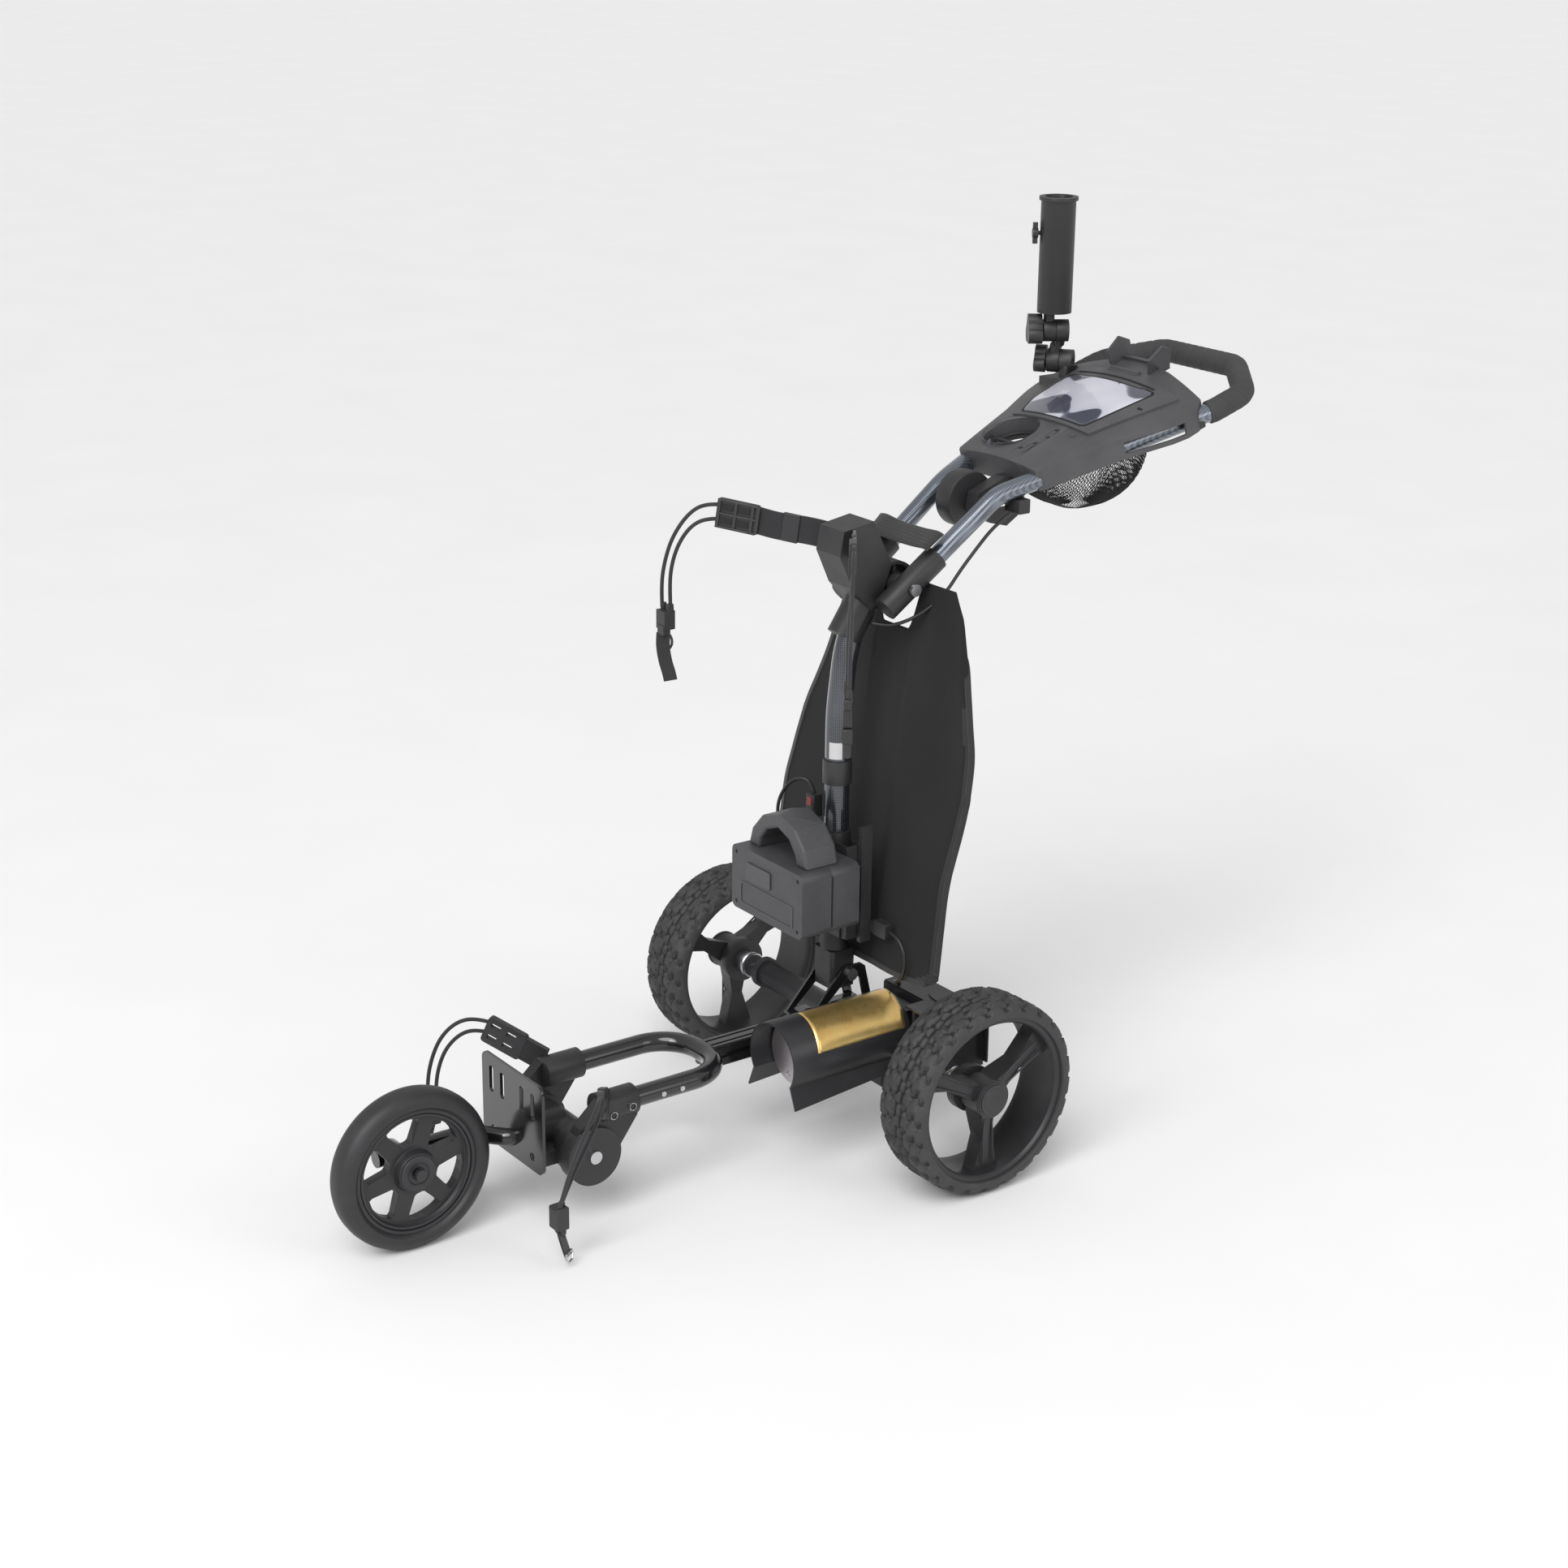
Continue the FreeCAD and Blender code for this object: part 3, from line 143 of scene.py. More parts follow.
def moulded(name, base, rough=0.5, grain=1400.0, depth=0.00012, var=0.22, coat=0.0, metallic=0.0, wear=0.0):
    """Moulded plastic, rubber or painted metal: fine grain, cloudy colour, edges rubbed a little lighter."""
    m, nt, b = shader(name)
    v = coords(nt)
    big = noise_tex(nt, v, 11, 5, 0.6)
    fine = noise_tex(nt, v, grain, 2, 0.5)
    col = ramp(nt, big, [(0.3, scaled(base, 1 - var)), (0.7, scaled(base, 1 + var))])
    if wear > 0:
        g = nt.nodes.new("ShaderNodeNewGeometry")
        edge = ramp(nt, g.outputs["Pointiness"], [(0.51, 0.0), (0.6, 1.0)])
        scuff = noise_tex(nt, v, 160, 6, 0.7)
        k = math_node(nt, "MULTIPLY", edge, math_node(nt, "MULTIPLY", scuff, wear))
        mx = nt.nodes.new("ShaderNodeMix")
        mx.data_type = "RGBA"
        for s in mx.inputs:
            if s.type == "RGBA" and s.name == "B":
                s.default_value = (*scaled(base, 3.2), 1)
            if s.type == "RGBA" and s.name == "A":
                nt.links.new(col, s)
        nt.links.new(k, mx.inputs[0])
        col = [o for o in mx.outputs if o.type == "RGBA"][0]
    nt.links.new(col, b.inputs["Base Color"])
    r = nt.nodes.new("ShaderNodeMapRange")
    r.inputs["To Min"].default_value = max(0.03, rough - 0.07)
    r.inputs["To Max"].default_value = min(1.0, rough + 0.09)
    nt.links.new(noise_tex(nt, v, 60, 5, 0.6), r.inputs[0])
    nt.links.new(r.outputs[0], b.inputs["Roughness"])
    b.inputs["Metallic"].default_value = metallic
    b.inputs["Coat Weight"].default_value = coat
    b.inputs["Coat Roughness"].default_value = 0.12
    bump(nt, b, fine, 0.35, depth)
    return m


def metal(name, base, rough=0.28, axis=(1, 1, 12), streak=300.0):
    m, nt, b = shader(name)
    v = coords(nt, scale=axis)
    s = noise_tex(nt, v, streak, 3, 0.6)
    nt.links.new(ramp(nt, s, [(0.3, scaled(base, 0.86)), (0.7, base)]), b.inputs["Base Color"])
    r = nt.nodes.new("ShaderNodeMapRange")
    r.inputs["To Min"].default_value = rough - 0.08
    r.inputs["To Max"].default_value = rough + 0.12
    nt.links.new(s, r.inputs[0])
    nt.links.new(r.outputs[0], b.inputs["Roughness"])
    b.inputs["Metallic"].default_value = 1.0
    bump(nt, b, s, 0.12, 0.0001)
    return m


def carbon(name, t, side, dark, light, pitch=2.6):
    """Twill of glossy fibre bands under clear lacquer; t runs along the tube and side across it."""
    m, nt, b = shader(name)
    v = coords(nt)
    waves = []
    for sgn in (1, -1):
        d = (Vector(t).normalized() + Vector(side).normalized() * sgn) * (1000 / pitch * math.pi)
        dp = nt.nodes.new("ShaderNodeVectorMath")
        dp.operation = "DOT_PRODUCT"
        dp.inputs[1].default_value = d
        nt.links.new(v, dp.inputs[0])
        waves.append(math_node(nt, "SINE", dp.outputs["Value"]))
    w = math_node(nt, "MULTIPLY_ADD", math_node(nt, "MULTIPLY", waves[0], waves[1]), 0.5, 0.5)
    cloud = noise_tex(nt, v, 9, 3)
    mixed = math_node(nt, "MULTIPLY_ADD", cloud, 0.5, math_node(nt, "MULTIPLY", w, 0.6))
    nt.links.new(ramp(nt, mixed, [(0.25, dark), (0.8, light)]), b.inputs["Base Color"])
    nt.links.new(ramp(nt, w, [(0.2, 0.22), (0.8, 0.36)]), b.inputs["Roughness"])
    b.inputs["Metallic"].default_value = 0.75
    b.inputs["Coat Weight"].default_value = 1.0
    b.inputs["Coat Roughness"].default_value = 0.04
    bump(nt, b, w, 0.25, 0.00015)
    return m


def woven(name, base, pitch=1.1, uv=False, rough=0.92, sheen=0.25, depth=0.0003, ribs=False, var=0.3):
    """Canvas or webbing: crossing threads, lint and cloudy fading."""
    m, nt, b = shader(name)
    v = coords(nt, uv)
    sp = nt.nodes.new("ShaderNodeSeparateXYZ")
    nt.links.new(v, sp.inputs[0])
    k = 2000 * math.pi / pitch
    a = math_node(nt, "SINE", math_node(nt, "MULTIPLY", sp.outputs[0], k))
    second = sp.outputs[1] if uv else sp.outputs[2]
    c = math_node(nt, "SINE", math_node(nt, "MULTIPLY", second, k * (0.5 if ribs else 1.0)))
    w = math_node(nt, "MAXIMUM", math_node(nt, "MULTIPLY", a, c), math_node(nt, "MULTIPLY", c, 0.8 if ribs else 0.2))
    big = noise_tex(nt, v, 7, 6, 0.65)
    lint = noise_tex(nt, v, 900, 3, 0.7)
    mixed = math_node(nt, "MULTIPLY_ADD", big, 0.75, math_node(nt, "MULTIPLY", lint, 0.3))
    nt.links.new(ramp(nt, mixed, [(0.35, scaled(base, 1 - var)), (0.75, scaled(base, 1 + var * 1.4))]), b.inputs["Base Color"])
    b.inputs["Roughness"].default_value = rough
    b.inputs["Sheen Weight"].default_value = sheen
    b.inputs["Sheen Roughness"].default_value = 0.5
    n1 = bump(nt, b, w, 0.5, depth)
    bump(nt, b, big, 0.3, 0.003, n1)
    return m


def rubber(name, base, rough=0.62, depth=0.0004):
    m, nt, b = shader(name)
    v = coords(nt)
    dust = noise_tex(nt, v, 26, 8, 0.7)
    nt.links.new(ramp(nt, dust, [(0.32, scaled(base, 0.75)), (0.55, base), (0.8, scaled(base, 1.5))]), b.inputs["Base Color"])
    r = nt.nodes.new("ShaderNodeMapRange")
    r.inputs["To Min"].default_value = rough - 0.12
    r.inputs["To Max"].default_value = rough + 0.15
    nt.links.new(dust, r.inputs[0])
    nt.links.new(r.outputs[0], b.inputs["Roughness"])
    bump(nt, b, noise_tex(nt, v, 700, 4, 0.6), 0.3, depth)
    return m


def window_card(name):
    """Clear window over a pale card, with soft dark blotches painted on it as a painted reflection."""
    m, nt, b = shader(name)
    v = coords(nt)
    # dark noise blotches on the pale card: painted reflection in the clear window
    painted_reflection = noise_tex(nt, v, 15.0, 1.2, 0.4)
    nt.links.new(ramp(nt, painted_reflection, [(0.46, (0.055, 0.058, 0.085)), (0.485, (0.12, 0.125, 0.17)), (0.5, (0.50, 0.50, 0.58)),
                                   (0.8, (0.62, 0.62, 0.69))]), b.inputs["Base Color"])
    b.inputs["Roughness"].default_value = 0.3
    b.inputs["Coat Weight"].default_value = 1.0
    b.inputs["Coat Roughness"].default_value = 0.03
    bump(nt, b, noise_tex(nt, v, 30, 2), 0.08, 0.001)
    return m


def foil(name):
    m, nt, b = shader(name)
    v = coords(nt)
    n = noise_tex(nt, v, 30, 4, 0.6)
    nt.links.new(ramp(nt, n, [(0.3, (0.78, 0.50, 0.16)), (0.7, (0.95, 0.70, 0.28))]), b.inputs["Base Color"])
    b.inputs["Metallic"].default_value = 0.9
    nt.links.new(ramp(nt, noise_tex(nt, v, 90, 5, 0.6), [(0.3, 0.26), (0.8, 0.4)]), b.inputs["Roughness"])
    bump(nt, b, noise_tex(nt, v, 22, 2), 0.15, 0.0012)
    return m


M = {
    "tyre": rubber("tyre_rubber", (0.040, 0.040, 0.042)),
    # darker rubber for the groove floors between the lugs: painted shade in the tread grooves
    "groove": rubber("painted_groove_shade", (0.009, 0.009, 0.010)),
    "tyre_front": rubber("tyre_front_rubber", (0.024, 0.024, 0.026), 0.5),
    "rim": moulded("rim_plastic", (0.022, 0.022, 0.024), 0.42, 900, 0.0002, wear=0.5),
    "gloss": moulded("black_gloss", (0.010, 0.010, 0.011), 0.16, 500, 0.00004, coat=0.6),
    "satin": moulded("black_satin", (0.018, 0.018, 0.020), 0.36, 900, 0.00008, wear=0.4),
    "mould": moulded("moulded_black", (0.020, 0.020, 0.0215), 0.44, 1200, 0.00015, wear=0.5),
    "grey": moulded("dark_grey", (0.052, 0.052, 0.056), 0.46, 1500, 0.00018, wear=0.35),
    "console": moulded("console_grey", (0.062, 0.060, 0.064), 0.5, 1500, 0.0002, wear=0.35),
    "steel": metal("steel", (0.62, 0.62, 0.64)),
    "motor_steel": metal("motor_steel", (0.62, 0.57, 0.60), 0.34),
    "copper": metal("copper_core", (0.42, 0.26, 0.16)),
    "cells": moulded("cell_wrap", (0.08, 0.16, 0.30), 0.35, 300, 0.0001),
    "mast_carbon": carbon("mast_carbon", (0, 0, 1), (0.6, 0.8, 0), (0.012, 0.013, 0.016), (0.11, 0.12, 0.14)),
    "handle_carbon": carbon("handle_carbon", (0.12, 0.83, 0.54), (1, 0, 0), (0.05, 0.058, 0.072), (0.22, 0.25, 0.30)),
    "foam": moulded("grip_foam", (0.046, 0.046, 0.048), 0.8, 600, 0.0006, wear=0.2),
    "webbing": woven("webbing", (0.018, 0.018, 0.020), 1.6, ribs=True, sheen=0.3),
    "canvas": woven("panel_canvas", (0.0075, 0.0075, 0.0085), 1.0, sheen=0.06),
    "gusset": woven("panel_gusset", (0.020, 0.020, 0.022), 1.0, sheen=0.2),
    "net": moulded("net_thread", (0.012, 0.012, 0.012), 0.6, 900, 0.0002),
    "cable": moulded("cable_rubber", (0.014, 0.014, 0.015), 0.4, 700, 0.0001),
    "elastic": woven("elastic_cord", (0.026, 0.026, 0.029), 1.2, sheen=0.2),
    "window": window_card("window_card"),
    "foil": foil("label_foil"),
    "sticker": moulded("pale_sticker", (0.55, 0.54, 0.55), 0.5, 500, 0.0001, var=0.05),
    "red": moulded("contact_red", (0.30, 0.02, 0.025), 0.4),
    "slotdark": moulded("slot_shadow", (0.004, 0.004, 0.005), 0.6),
}


# ------------------------------------------------------------------ helpers
def obj_from(name, verts, faces, mat, body, uvs=None, smooth=True):
    me = bpy.data.meshes.new(name)
    me.from_pydata([tuple(v) for v in verts], [], faces)
    me.validate()
    if uvs is not None:
        layer = me.uv_layers.new(name="UVMap")
        for lp in me.loops:
            layer.data[lp.index].uv = uvs[lp.vertex_index]
    me.shade_smooth() if smooth else None
    o = bpy.data.objects.new(name, me)
    scene.collection.objects.link(o)
    if mat is not None:
        me.materials.append(M[mat])
    if body:
        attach(o, body)
    return o


def from_bm(name, bm, mat, body, smooth_angle=35):
    me = bpy.data.meshes.new(name)
    bmesh.ops.recalc_face_normals(bm, faces=bm.faces)
    for e in bm.edges:
        if len(e.link_faces) == 2 and e.calc_face_angle(0) > math.radians(smooth_angle):
            e.smooth = False
    for f in bm.faces:
        f.smooth = True
    bm.to_mesh(me)
    bm.free()
    me.materials.append(M[mat])
    o = bpy.data.objects.new(name, me)
    scene.collection.objects.link(o)
    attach(o, body)
    return o


def bevel(o, width, segments=2, angle=32, sub=0):
    b = o.modifiers.new("bevel", "BEVEL")
    b.width = width
    b.segments = segments
    b.limit_method = "ANGLE"
    b.angle_limit = math.radians(angle)
    b.harden_normals = False
    if sub:
        s = o.modifiers.new("sub", "SUBSURF")
        s.levels = s.render_levels = sub
    return o


def frame_of(d, hint=(0, 0, 1)):
    d = Vector(d).normalized()
    h = Vector(hint)
    if abs(d.dot(h.normalized())) > 0.95:
        h = Vector((1, 0, 0))
    u = d.cross(h).normalized()
    v = u.cross(d).normalized()
    return d, u, v


def add_box(bm, centre, size, rot=None, taper=1.0):
    """Block with eight corners; centre in metres, size in mm, rot a 3x3 matrix."""
    rot = rot or Matrix.Identity(3)
    sx, sy, sz = (s / 2000 for s in size)
    vs = []
    for z in (-1, 1):
        k = taper if z > 0 else 1.0
        for x, y in ((-1, -1), (1, -1), (1, 1), (-1, 1)):
            vs.append(bm.verts.new(Vector(centre) + rot @ Vector((x * sx * k, y * sy * k, z * sz))))
    for f in ((0, 3, 2, 1), (4, 5, 6, 7), (0, 1, 5, 4), (1, 2, 6, 5), (2, 3, 7, 6), (3, 0, 4, 7)):
        bm.faces.new([vs[i] for i in f])


def add_lathe(bm, p, d, prof, seg=40, ring_only=False):
    """prof is (distance along d, radius) in mm from p; ring_only closes the profile on itself."""
    d, u, v = frame_of(d)
    rings = []
    for t, r in prof:
        ring = []
        for k in range(seg):
            a = 2 * math.pi * k / seg
            ring.append(bm.verts.new(Vector(p) + d * (t / 1000) + (u * math.cos(a) + v * math.sin(a)) * (max(r, 0.01) / 1000)))
        rings.append(ring)
    if ring_only:
        rings.append(rings[0])
    for a, b in zip(rings, rings[1:]):
        for k in range(seg):
            bm.faces.new((a[k], a[(k + 1) % seg], b[(k + 1) % seg], b[k]))
    if ring_only:
        return
    bm.faces.new(rings[0][::-1])
    bm.faces.new(rings[-1])


def add_cyl(bm, p, d, r, h, seg=28, chamfer=0.4):
    add_lathe(bm, p, d, [(0, r - chamfer), (chamfer, r), (h - chamfer, r), (h, r - chamfer)], seg)


def add_prism(bm, pts, thick, origin, ex, ey):
    """Closed outline pts (mm) in plane ex, ey at origin, raised by thick mm along ex x ey."""
    n = Vector(ex).cross(Vector(ey)).normalized()
    lo = [bm.verts.new(Vector(origin) + Vector(ex) * (a / 1000) + Vector(ey) * (b / 1000)) for a, b in pts]
    hi = [bm.verts.new(v.co + n * (thick / 1000)) for v in lo]
    bm.faces.new(lo[::-1])
    bm.faces.new(hi)
    for i in range(len(pts)):
        j = (i + 1) % len(pts)
        bm.faces.new((lo[i], lo[j], hi[j], hi[i]))


def rounded(pts, r, seg=5):
    """Outline with rounded corners, mm."""
    out = []
    n = len(pts)
    for i in range(n):
        p = Vector(pts[i])
        a = (Vector(pts[i - 1]) - p).normalized()
        b = (Vector(pts[(i + 1) % n]) - p).normalized()
        q0, q1 = p + a * r, p + b * r
        for k in range(seg + 1):
            t = k / seg
            q = q0 * (1 - t) ** 2 + p * 2 * t * (1 - t) + q1 * t * t
            out.append((q.x, q.y))
    return out


def strap(name, pts, width, thick, mat, body, hints, wave=0.0, steps=6):
    """Flat webbing laid along pts, with hints giving the face normal at each point."""
    P_, H = [], []
    n = len(pts)
    for i in range(n - 1):
        for k in range(steps):
            t = k / steps
            t2 = t
            p0, p1 = pts[max(i - 1, 0)], pts[i]
            p2, p3 = pts[i + 1], pts[min(i + 2, n - 1)]
            q = 0.5 * ((2 * p1) + (p2 - p0) * t2 + (2 * p0 - 5 * p1 + 4 * p2 - p3) * t2 ** 2 + (-p0 + 3 * p1 - 3 * p2 + p3) * t2 ** 3)
            P_.append(q)
            H.append(hints[i].lerp(hints[i + 1], t).normalized())
    P_.append(pts[-1])
    H.append(hints[-1])
    verts, uvs, faces = [], [], []
    prof = [(-0.5, -0.5), (-0.5, 0.5), (-0.46, 0.62), (-0.2, 0.5), (0.0, 0.52), (0.2, 0.5), (0.46, 0.62), (0.5, 0.5), (0.5, -0.5),
            (0.46, -0.62), (0.2, -0.5), (0.0, -0.52), (-0.2, -0.5), (-0.46, -0.62)]
    s = 0.0
    m = len(prof)
    for i, (p, h) in enumerate(zip(P_, H)):
        d = (P_[min(i + 1, len(P_) - 1)] - P_[max(i - 1, 0)]).normalized()
        if i:
            s += (p - P_[i - 1]).length
        side = d.cross(h).normalized()
        nrm = side.cross(d).normalized()
        w = wave * math.sin(s * 90)
        for a, b in prof:
            verts.append(p + side * (a * width / 1000) + nrm * ((b * thick + w) / 1000))
            uvs.append((a * width / 1000, s))
    for i in range(len(P_) - 1):
        for k in range(m):
            faces.append((i * m + k, i * m + (k + 1) % m, (i + 1) * m + (k + 1) % m, (i + 1) * m + k))
    faces.append(tuple(range(m))[::-1])
    faces.append(tuple((len(P_) - 1) * m + k for k in range(m)))
    return obj_from(name, verts, faces, mat, body, uvs)


# -------------------------------------------------------------------- cords
CORD_D, LEAD_D = 0.0055, 0.005
ROUTES = {
    "upper_left_0": [(-152, -125, 884), (-168, -139, 884), (-190, -152, 866), (-207, -166, 832), (-217, -172, 796),
                     (-221, -175, 762), (-220, -174, 730)],
    "upper_left_1": [(-152, -125, 864), (-167, -137, 863), (-186, -149, 850), (-200, -160, 824), (-207, -167, 793),
                     (-209, -169, 762), (-208, -168, 730)],
    "upper_right_0": [(152, -125, 884), (164, -135, 880), (173, -142, 860), (176, -145, 830), (179, -147, 795),
                      (177, -147, 758), (175, -146, 722), (176, -146, 690)],
    "upper_right_1": [(152, -125, 864), (161, -133, 854), (166, -139, 834), (167, -141, 805), (165, -142, 770),
                      (166, -142, 735), (163, -141, 702)],
    "lower_left_0": [(-144, -513, 214), (-160, -526, 217), (-182, -542, 206), (-201, -556, 180), (-212, -565, 146),
                     (-217, -570, 110), (-216, -571, 76)],
    "lower_left_1": [(-144, -513, 198), (-158, -524, 200), (-177, -538, 190), (-194, -551, 166), (-203, -559, 136),
                     (-206, -563, 104), (-205, -564, 76)],
    "lower_right_0": [(144, -513, 214), (156, -523, 215), (166, -538, 203), (170, -556, 179), (168, -570, 148),
                      (164, -580, 115), (160, -587, 84)],
    "lower_right_1": [(144, -513, 198), (155, -522, 197), (163, -534, 184), (164, -550, 159), (160, -563, 131),
                      (155, -573, 104), (150, -580, 80)],
    "battery_lead": [(-74, -72, 418), (-79, -74, 440), (-80, -73, 463), (-72.6, -68.5, 483.8), (-61.6, -61.9, 499.1),
                     (-47, -53, 504.7), (-36.2, -46.4, 497.9), (-33, -44.5, 484)],
    "motor_lead": [(98, -10, 312), (112, -10, 311), (126, -10, 303), (136, -11, 288), (137, -11, 268), (126, -8, 250),
                   (110, -2, 238), (92, 8, 230), (76, 20, 221), (64, 34, 212), (58, 44, 206)],
    "handset_cable": [(65, 217, 873), (64, 201, 864), (63, 180, 851), (66, 152, 829), (68, 122, 802), (73, 96, 778),
                      (70, 68, 758), (58, 42, 742), (42, 18, 734), (24.5, 4, 738)],
}


def route_curve(name, dia):
    cu = bpy.data.curves.new(name + "_path", "CURVE")
    cu.dimensions = "3D"
    sp = cu.splines.new("NURBS")
    pts = ROUTES[name]
    sp.points.add(len(pts) - 1)
    for q, p in zip(sp.points, pts):
        q.co = (*P(*p), 1.0)
    sp.order_u = 3
    sp.use_endpoint_u = True
    sp.resolution_u = 10
    cu.bevel_depth = dia / 2
    cu.bevel_resolution = 5
    cu.use_fill_caps = dia > 0
    return cu


def cord_curve(name, dia, mat, body, node):
    cu = route_curve(name, dia)
    cu.materials.append(M[mat])
    o = bpy.data.objects.new(name, cu)
    scene.collection.objects.link(o)
    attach(o, body)
    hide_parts(node)
    return o


def cord_mesh(name, dia, mat, node):
    """Mesh tube on the route's own spline, for a lead that bends across a joint."""
    line = route_curve(name, 0.0)
    tmp = bpy.data.objects.new(name + "_path", line)
    scene.collection.objects.link(tmp)
    me = bpy.data.meshes.new_from_object(tmp)
    pts = [v.co.copy() for v in me.vertices]
    bpy.data.objects.remove(tmp)
    verts, faces, uvs = [], [], []
    seg = 14
    ref = Vector((0, 0, 1))
    s = 0.0
    for i, p in enumerate(pts):
        d = (pts[min(i + 1, len(pts) - 1)] - pts[max(i - 1, 0)]).normalized()
        if i:
            s += (p - pts[i - 1]).length
        u = (ref - d * ref.dot(d))
        u = u.normalized() if u.length > 0.05 else d.cross(Vector((1, 0, 0))).normalized()
        v = d.cross(u)
        for k in range(seg):
            a = 2 * math.pi * k / seg
            verts.append(p + (u * math.cos(a) + v * math.sin(a)) * dia / 2)
            uvs.append((k / seg * math.pi * dia, s))
        ref = u
    for i in range(len(pts) - 1):
        for k in range(seg):
            faces.append((i * seg + k, i * seg + (k + 1) % seg, (i + 1) * seg + (k + 1) % seg, (i + 1) * seg + k))
    faces.append(tuple(range(seg))[::-1])
    faces.append(tuple((len(pts) - 1) * seg + k for k in range(seg)))
    o = obj_from(name, verts, faces, mat, None, uvs)
    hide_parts(node)
    return o, pts


for nm in ("upper_left_0", "upper_left_1", "upper_right_0", "upper_right_1"):
    cord_curve(nm, CORD_D, "elastic", "mast", "upper_cords")
for nm in ("lower_left_0", "lower_left_1", "lower_right_0", "lower_right_1"):
    cord_curve(nm, CORD_D, "elastic", "chassis", "lower_cords")
cord_curve("battery_lead", LEAD_D, "cable", "battery", "battery_lead")
ml, ml_path = cord_mesh("motor_lead", LEAD_D, "cable", "motor_lead")
hc, hc_path = cord_mesh("handset_cable", LEAD_D, "cable", "handset_cable")

# ------------------------------------------------------- strap ends, buckles
# far upper: toggle, clip and webbing tail
bm = bmesh.new()
add_box(bm, P(-214.5, -172, 714), (21, 18, 27))
add_box(bm, P(-213, -176, 700), (15, 12, 14))
for dx in (-220, -208):
    add_cyl(bm, P(dx, -171.5, 725), (0, 0, 1), 4.2, 12)
toggle = bevel(from_bm("upper_left_toggle", bm, "mould", "mast"), 0.0022, 3)
bm = bmesh.new()
for k in range(20):
    a0, a1 = 2 * math.pi * k / 20, 2 * math.pi * (k + 1) / 20
    c = P(-212, -175, 683)
    e1, e2 = Vector((0.8, 0.6, 0)), Vector((0, 0, 1))
    p0 = c + e1 * math.cos(a0) * 0.0105 + e2 * math.sin(a0) * 0.013
    p1 = c + e1 * math.cos(a1) * 0.0105 + e2 * math.sin(a1) * 0.013
    add_cyl(bm, p0, p1 - p0, 1.9, (p1 - p0).length * 1000 + 0.6, 10, 0.1)
ringo = from_bm("upper_left_ring", bm, "mould", "mast")
tail = strap("upper_left_tail", [P(-213, -177, 695), P(-212, -178, 676), P(-208, -177, 655), P(-204, -174.5, 640), P(-201, -173, 628)],
             20, 1.8, "webbing", "mast", [Vector((0.6, -0.8, 0))] * 5, wave=0.6)
for o in (toggle, ringo, tail):
    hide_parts("upper_strap_ends")

# near upper: side-release buckle
bm = bmesh.new()
ry = Matrix.Rotation(math.radians(-38), 3, "Z")
add_box(bm, P(170, -144, 689), (28, 11, 14), ry)
add_box(bm, P(170, -144, 670), (24, 13, 26), ry, 0.92)
add_box(bm, P(170, -144, 647), (36, 14, 20), ry)
add_box(bm, P(170, -144, 627), (22, 11, 22), ry, 1.1)
for sx in (-1, 1):
    off = ry @ Vector((sx * 14, 0, 0))
    add_box(bm, P(170 + off.x, -144 + off.y, 629), (5, 9, 24), ry)
buckle = bevel(from_bm("upper_right_buckle", bm, "mould", "mast"), 0.0018, 3)
bm = bmesh.new()
for i, z in enumerate((652, 647, 642)):
    add_box(bm, P(170, -144, z) + ry @ Vector((0, -0.0072, 0)), (22, 1.2, 2.0), ry)
grips = bevel(from_bm("upper_right_buckle_ribs", bm, "mould", "mast"), 0.0004, 2)
fer = []
for nm, p, d in (("upper_right_ferrule_0", P(176, -146, 697), (0, 0, 1)), ("upper_right_ferrule_1", P(163.5, -141.5, 704), (0, 0, 1))):
    bm = bmesh.new()
    add_lathe(bm, p, d, [(-6, 4.4), (0, 4.6), (6, 4.2), (10, 3.6), (12, 3.0)], 20)
    fer.append(from_bm(nm, bm, "mould", "mast"))
for o in [buckle, grips] + fer:
    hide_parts("upper_strap_ends")

# lower ends: toggle, short tail and a small ring close to the floor
bm = bmesh.new()
add_box(bm, P(154.5, -585, 68), (22, 19, 32))
add_box(bm, P(156, -584, 50), (15, 10, 12))
low_r = bevel(from_bm("lower_right_toggle", bm, "mould", "chassis"), 0.0024, 3)
low_tail = strap("lower_right_tail", [P(155, -586, 58), P(158, -585, 44), P(163, -583, 30), P(168, -580, 16)], 18, 2.0, "webbing",
                 "chassis", [Vector((0.8, 0.6, 0.25))] * 4, wave=0.5)
bm = bmesh.new()
dr = [(0, 0), (9, 0), (11, -5), (6, -12), (-6, -12), (-11, -5), (-9, 0)]
e1, e2 = Vector((0.6, -0.8, 0)), Vector((-0.15, -0.1, 1)).normalized()
for a, b in zip(dr, dr[1:] + dr[:1]):
    p0 = P(168, -579.5, 21) + e1 * a[0] / 1000 + e2 * a[1] / 1000
    p1 = P(168, -579.5, 21) + e1 * b[0] / 1000 + e2 * b[1] / 1000
    if (p1 - p0).length > 1e-6:
        add_cyl(bm, p0, p1 - p0, 1.5, (p1 - p0).length * 1000 + 0.5, 10, 0.1)
dring = from_bm("lower_right_ring", bm, "steel", "chassis")
bm = bmesh.new()
add_box(bm, P(-210, -569, 63), (23, 20, 25))
add_box(bm, P(-211, -571, 49), (15, 10, 10))
low_l = bevel(from_bm("lower_left_toggle", bm, "mould", "chassis"), 0.0024, 3)
low_tail2 = strap("lower_left_tail", [P(-211, -571, 56), P(-213, -573, 42), P(-215, -576, 27), P(-216, -578, 13)], 18, 2.0, "webbing",
                  "chassis", [Vector((0.6, -0.8, 0))] * 4, wave=0.5)
for o in (low_r, low_tail, dring, low_l, low_tail2):
    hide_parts("lower_strap_ends")

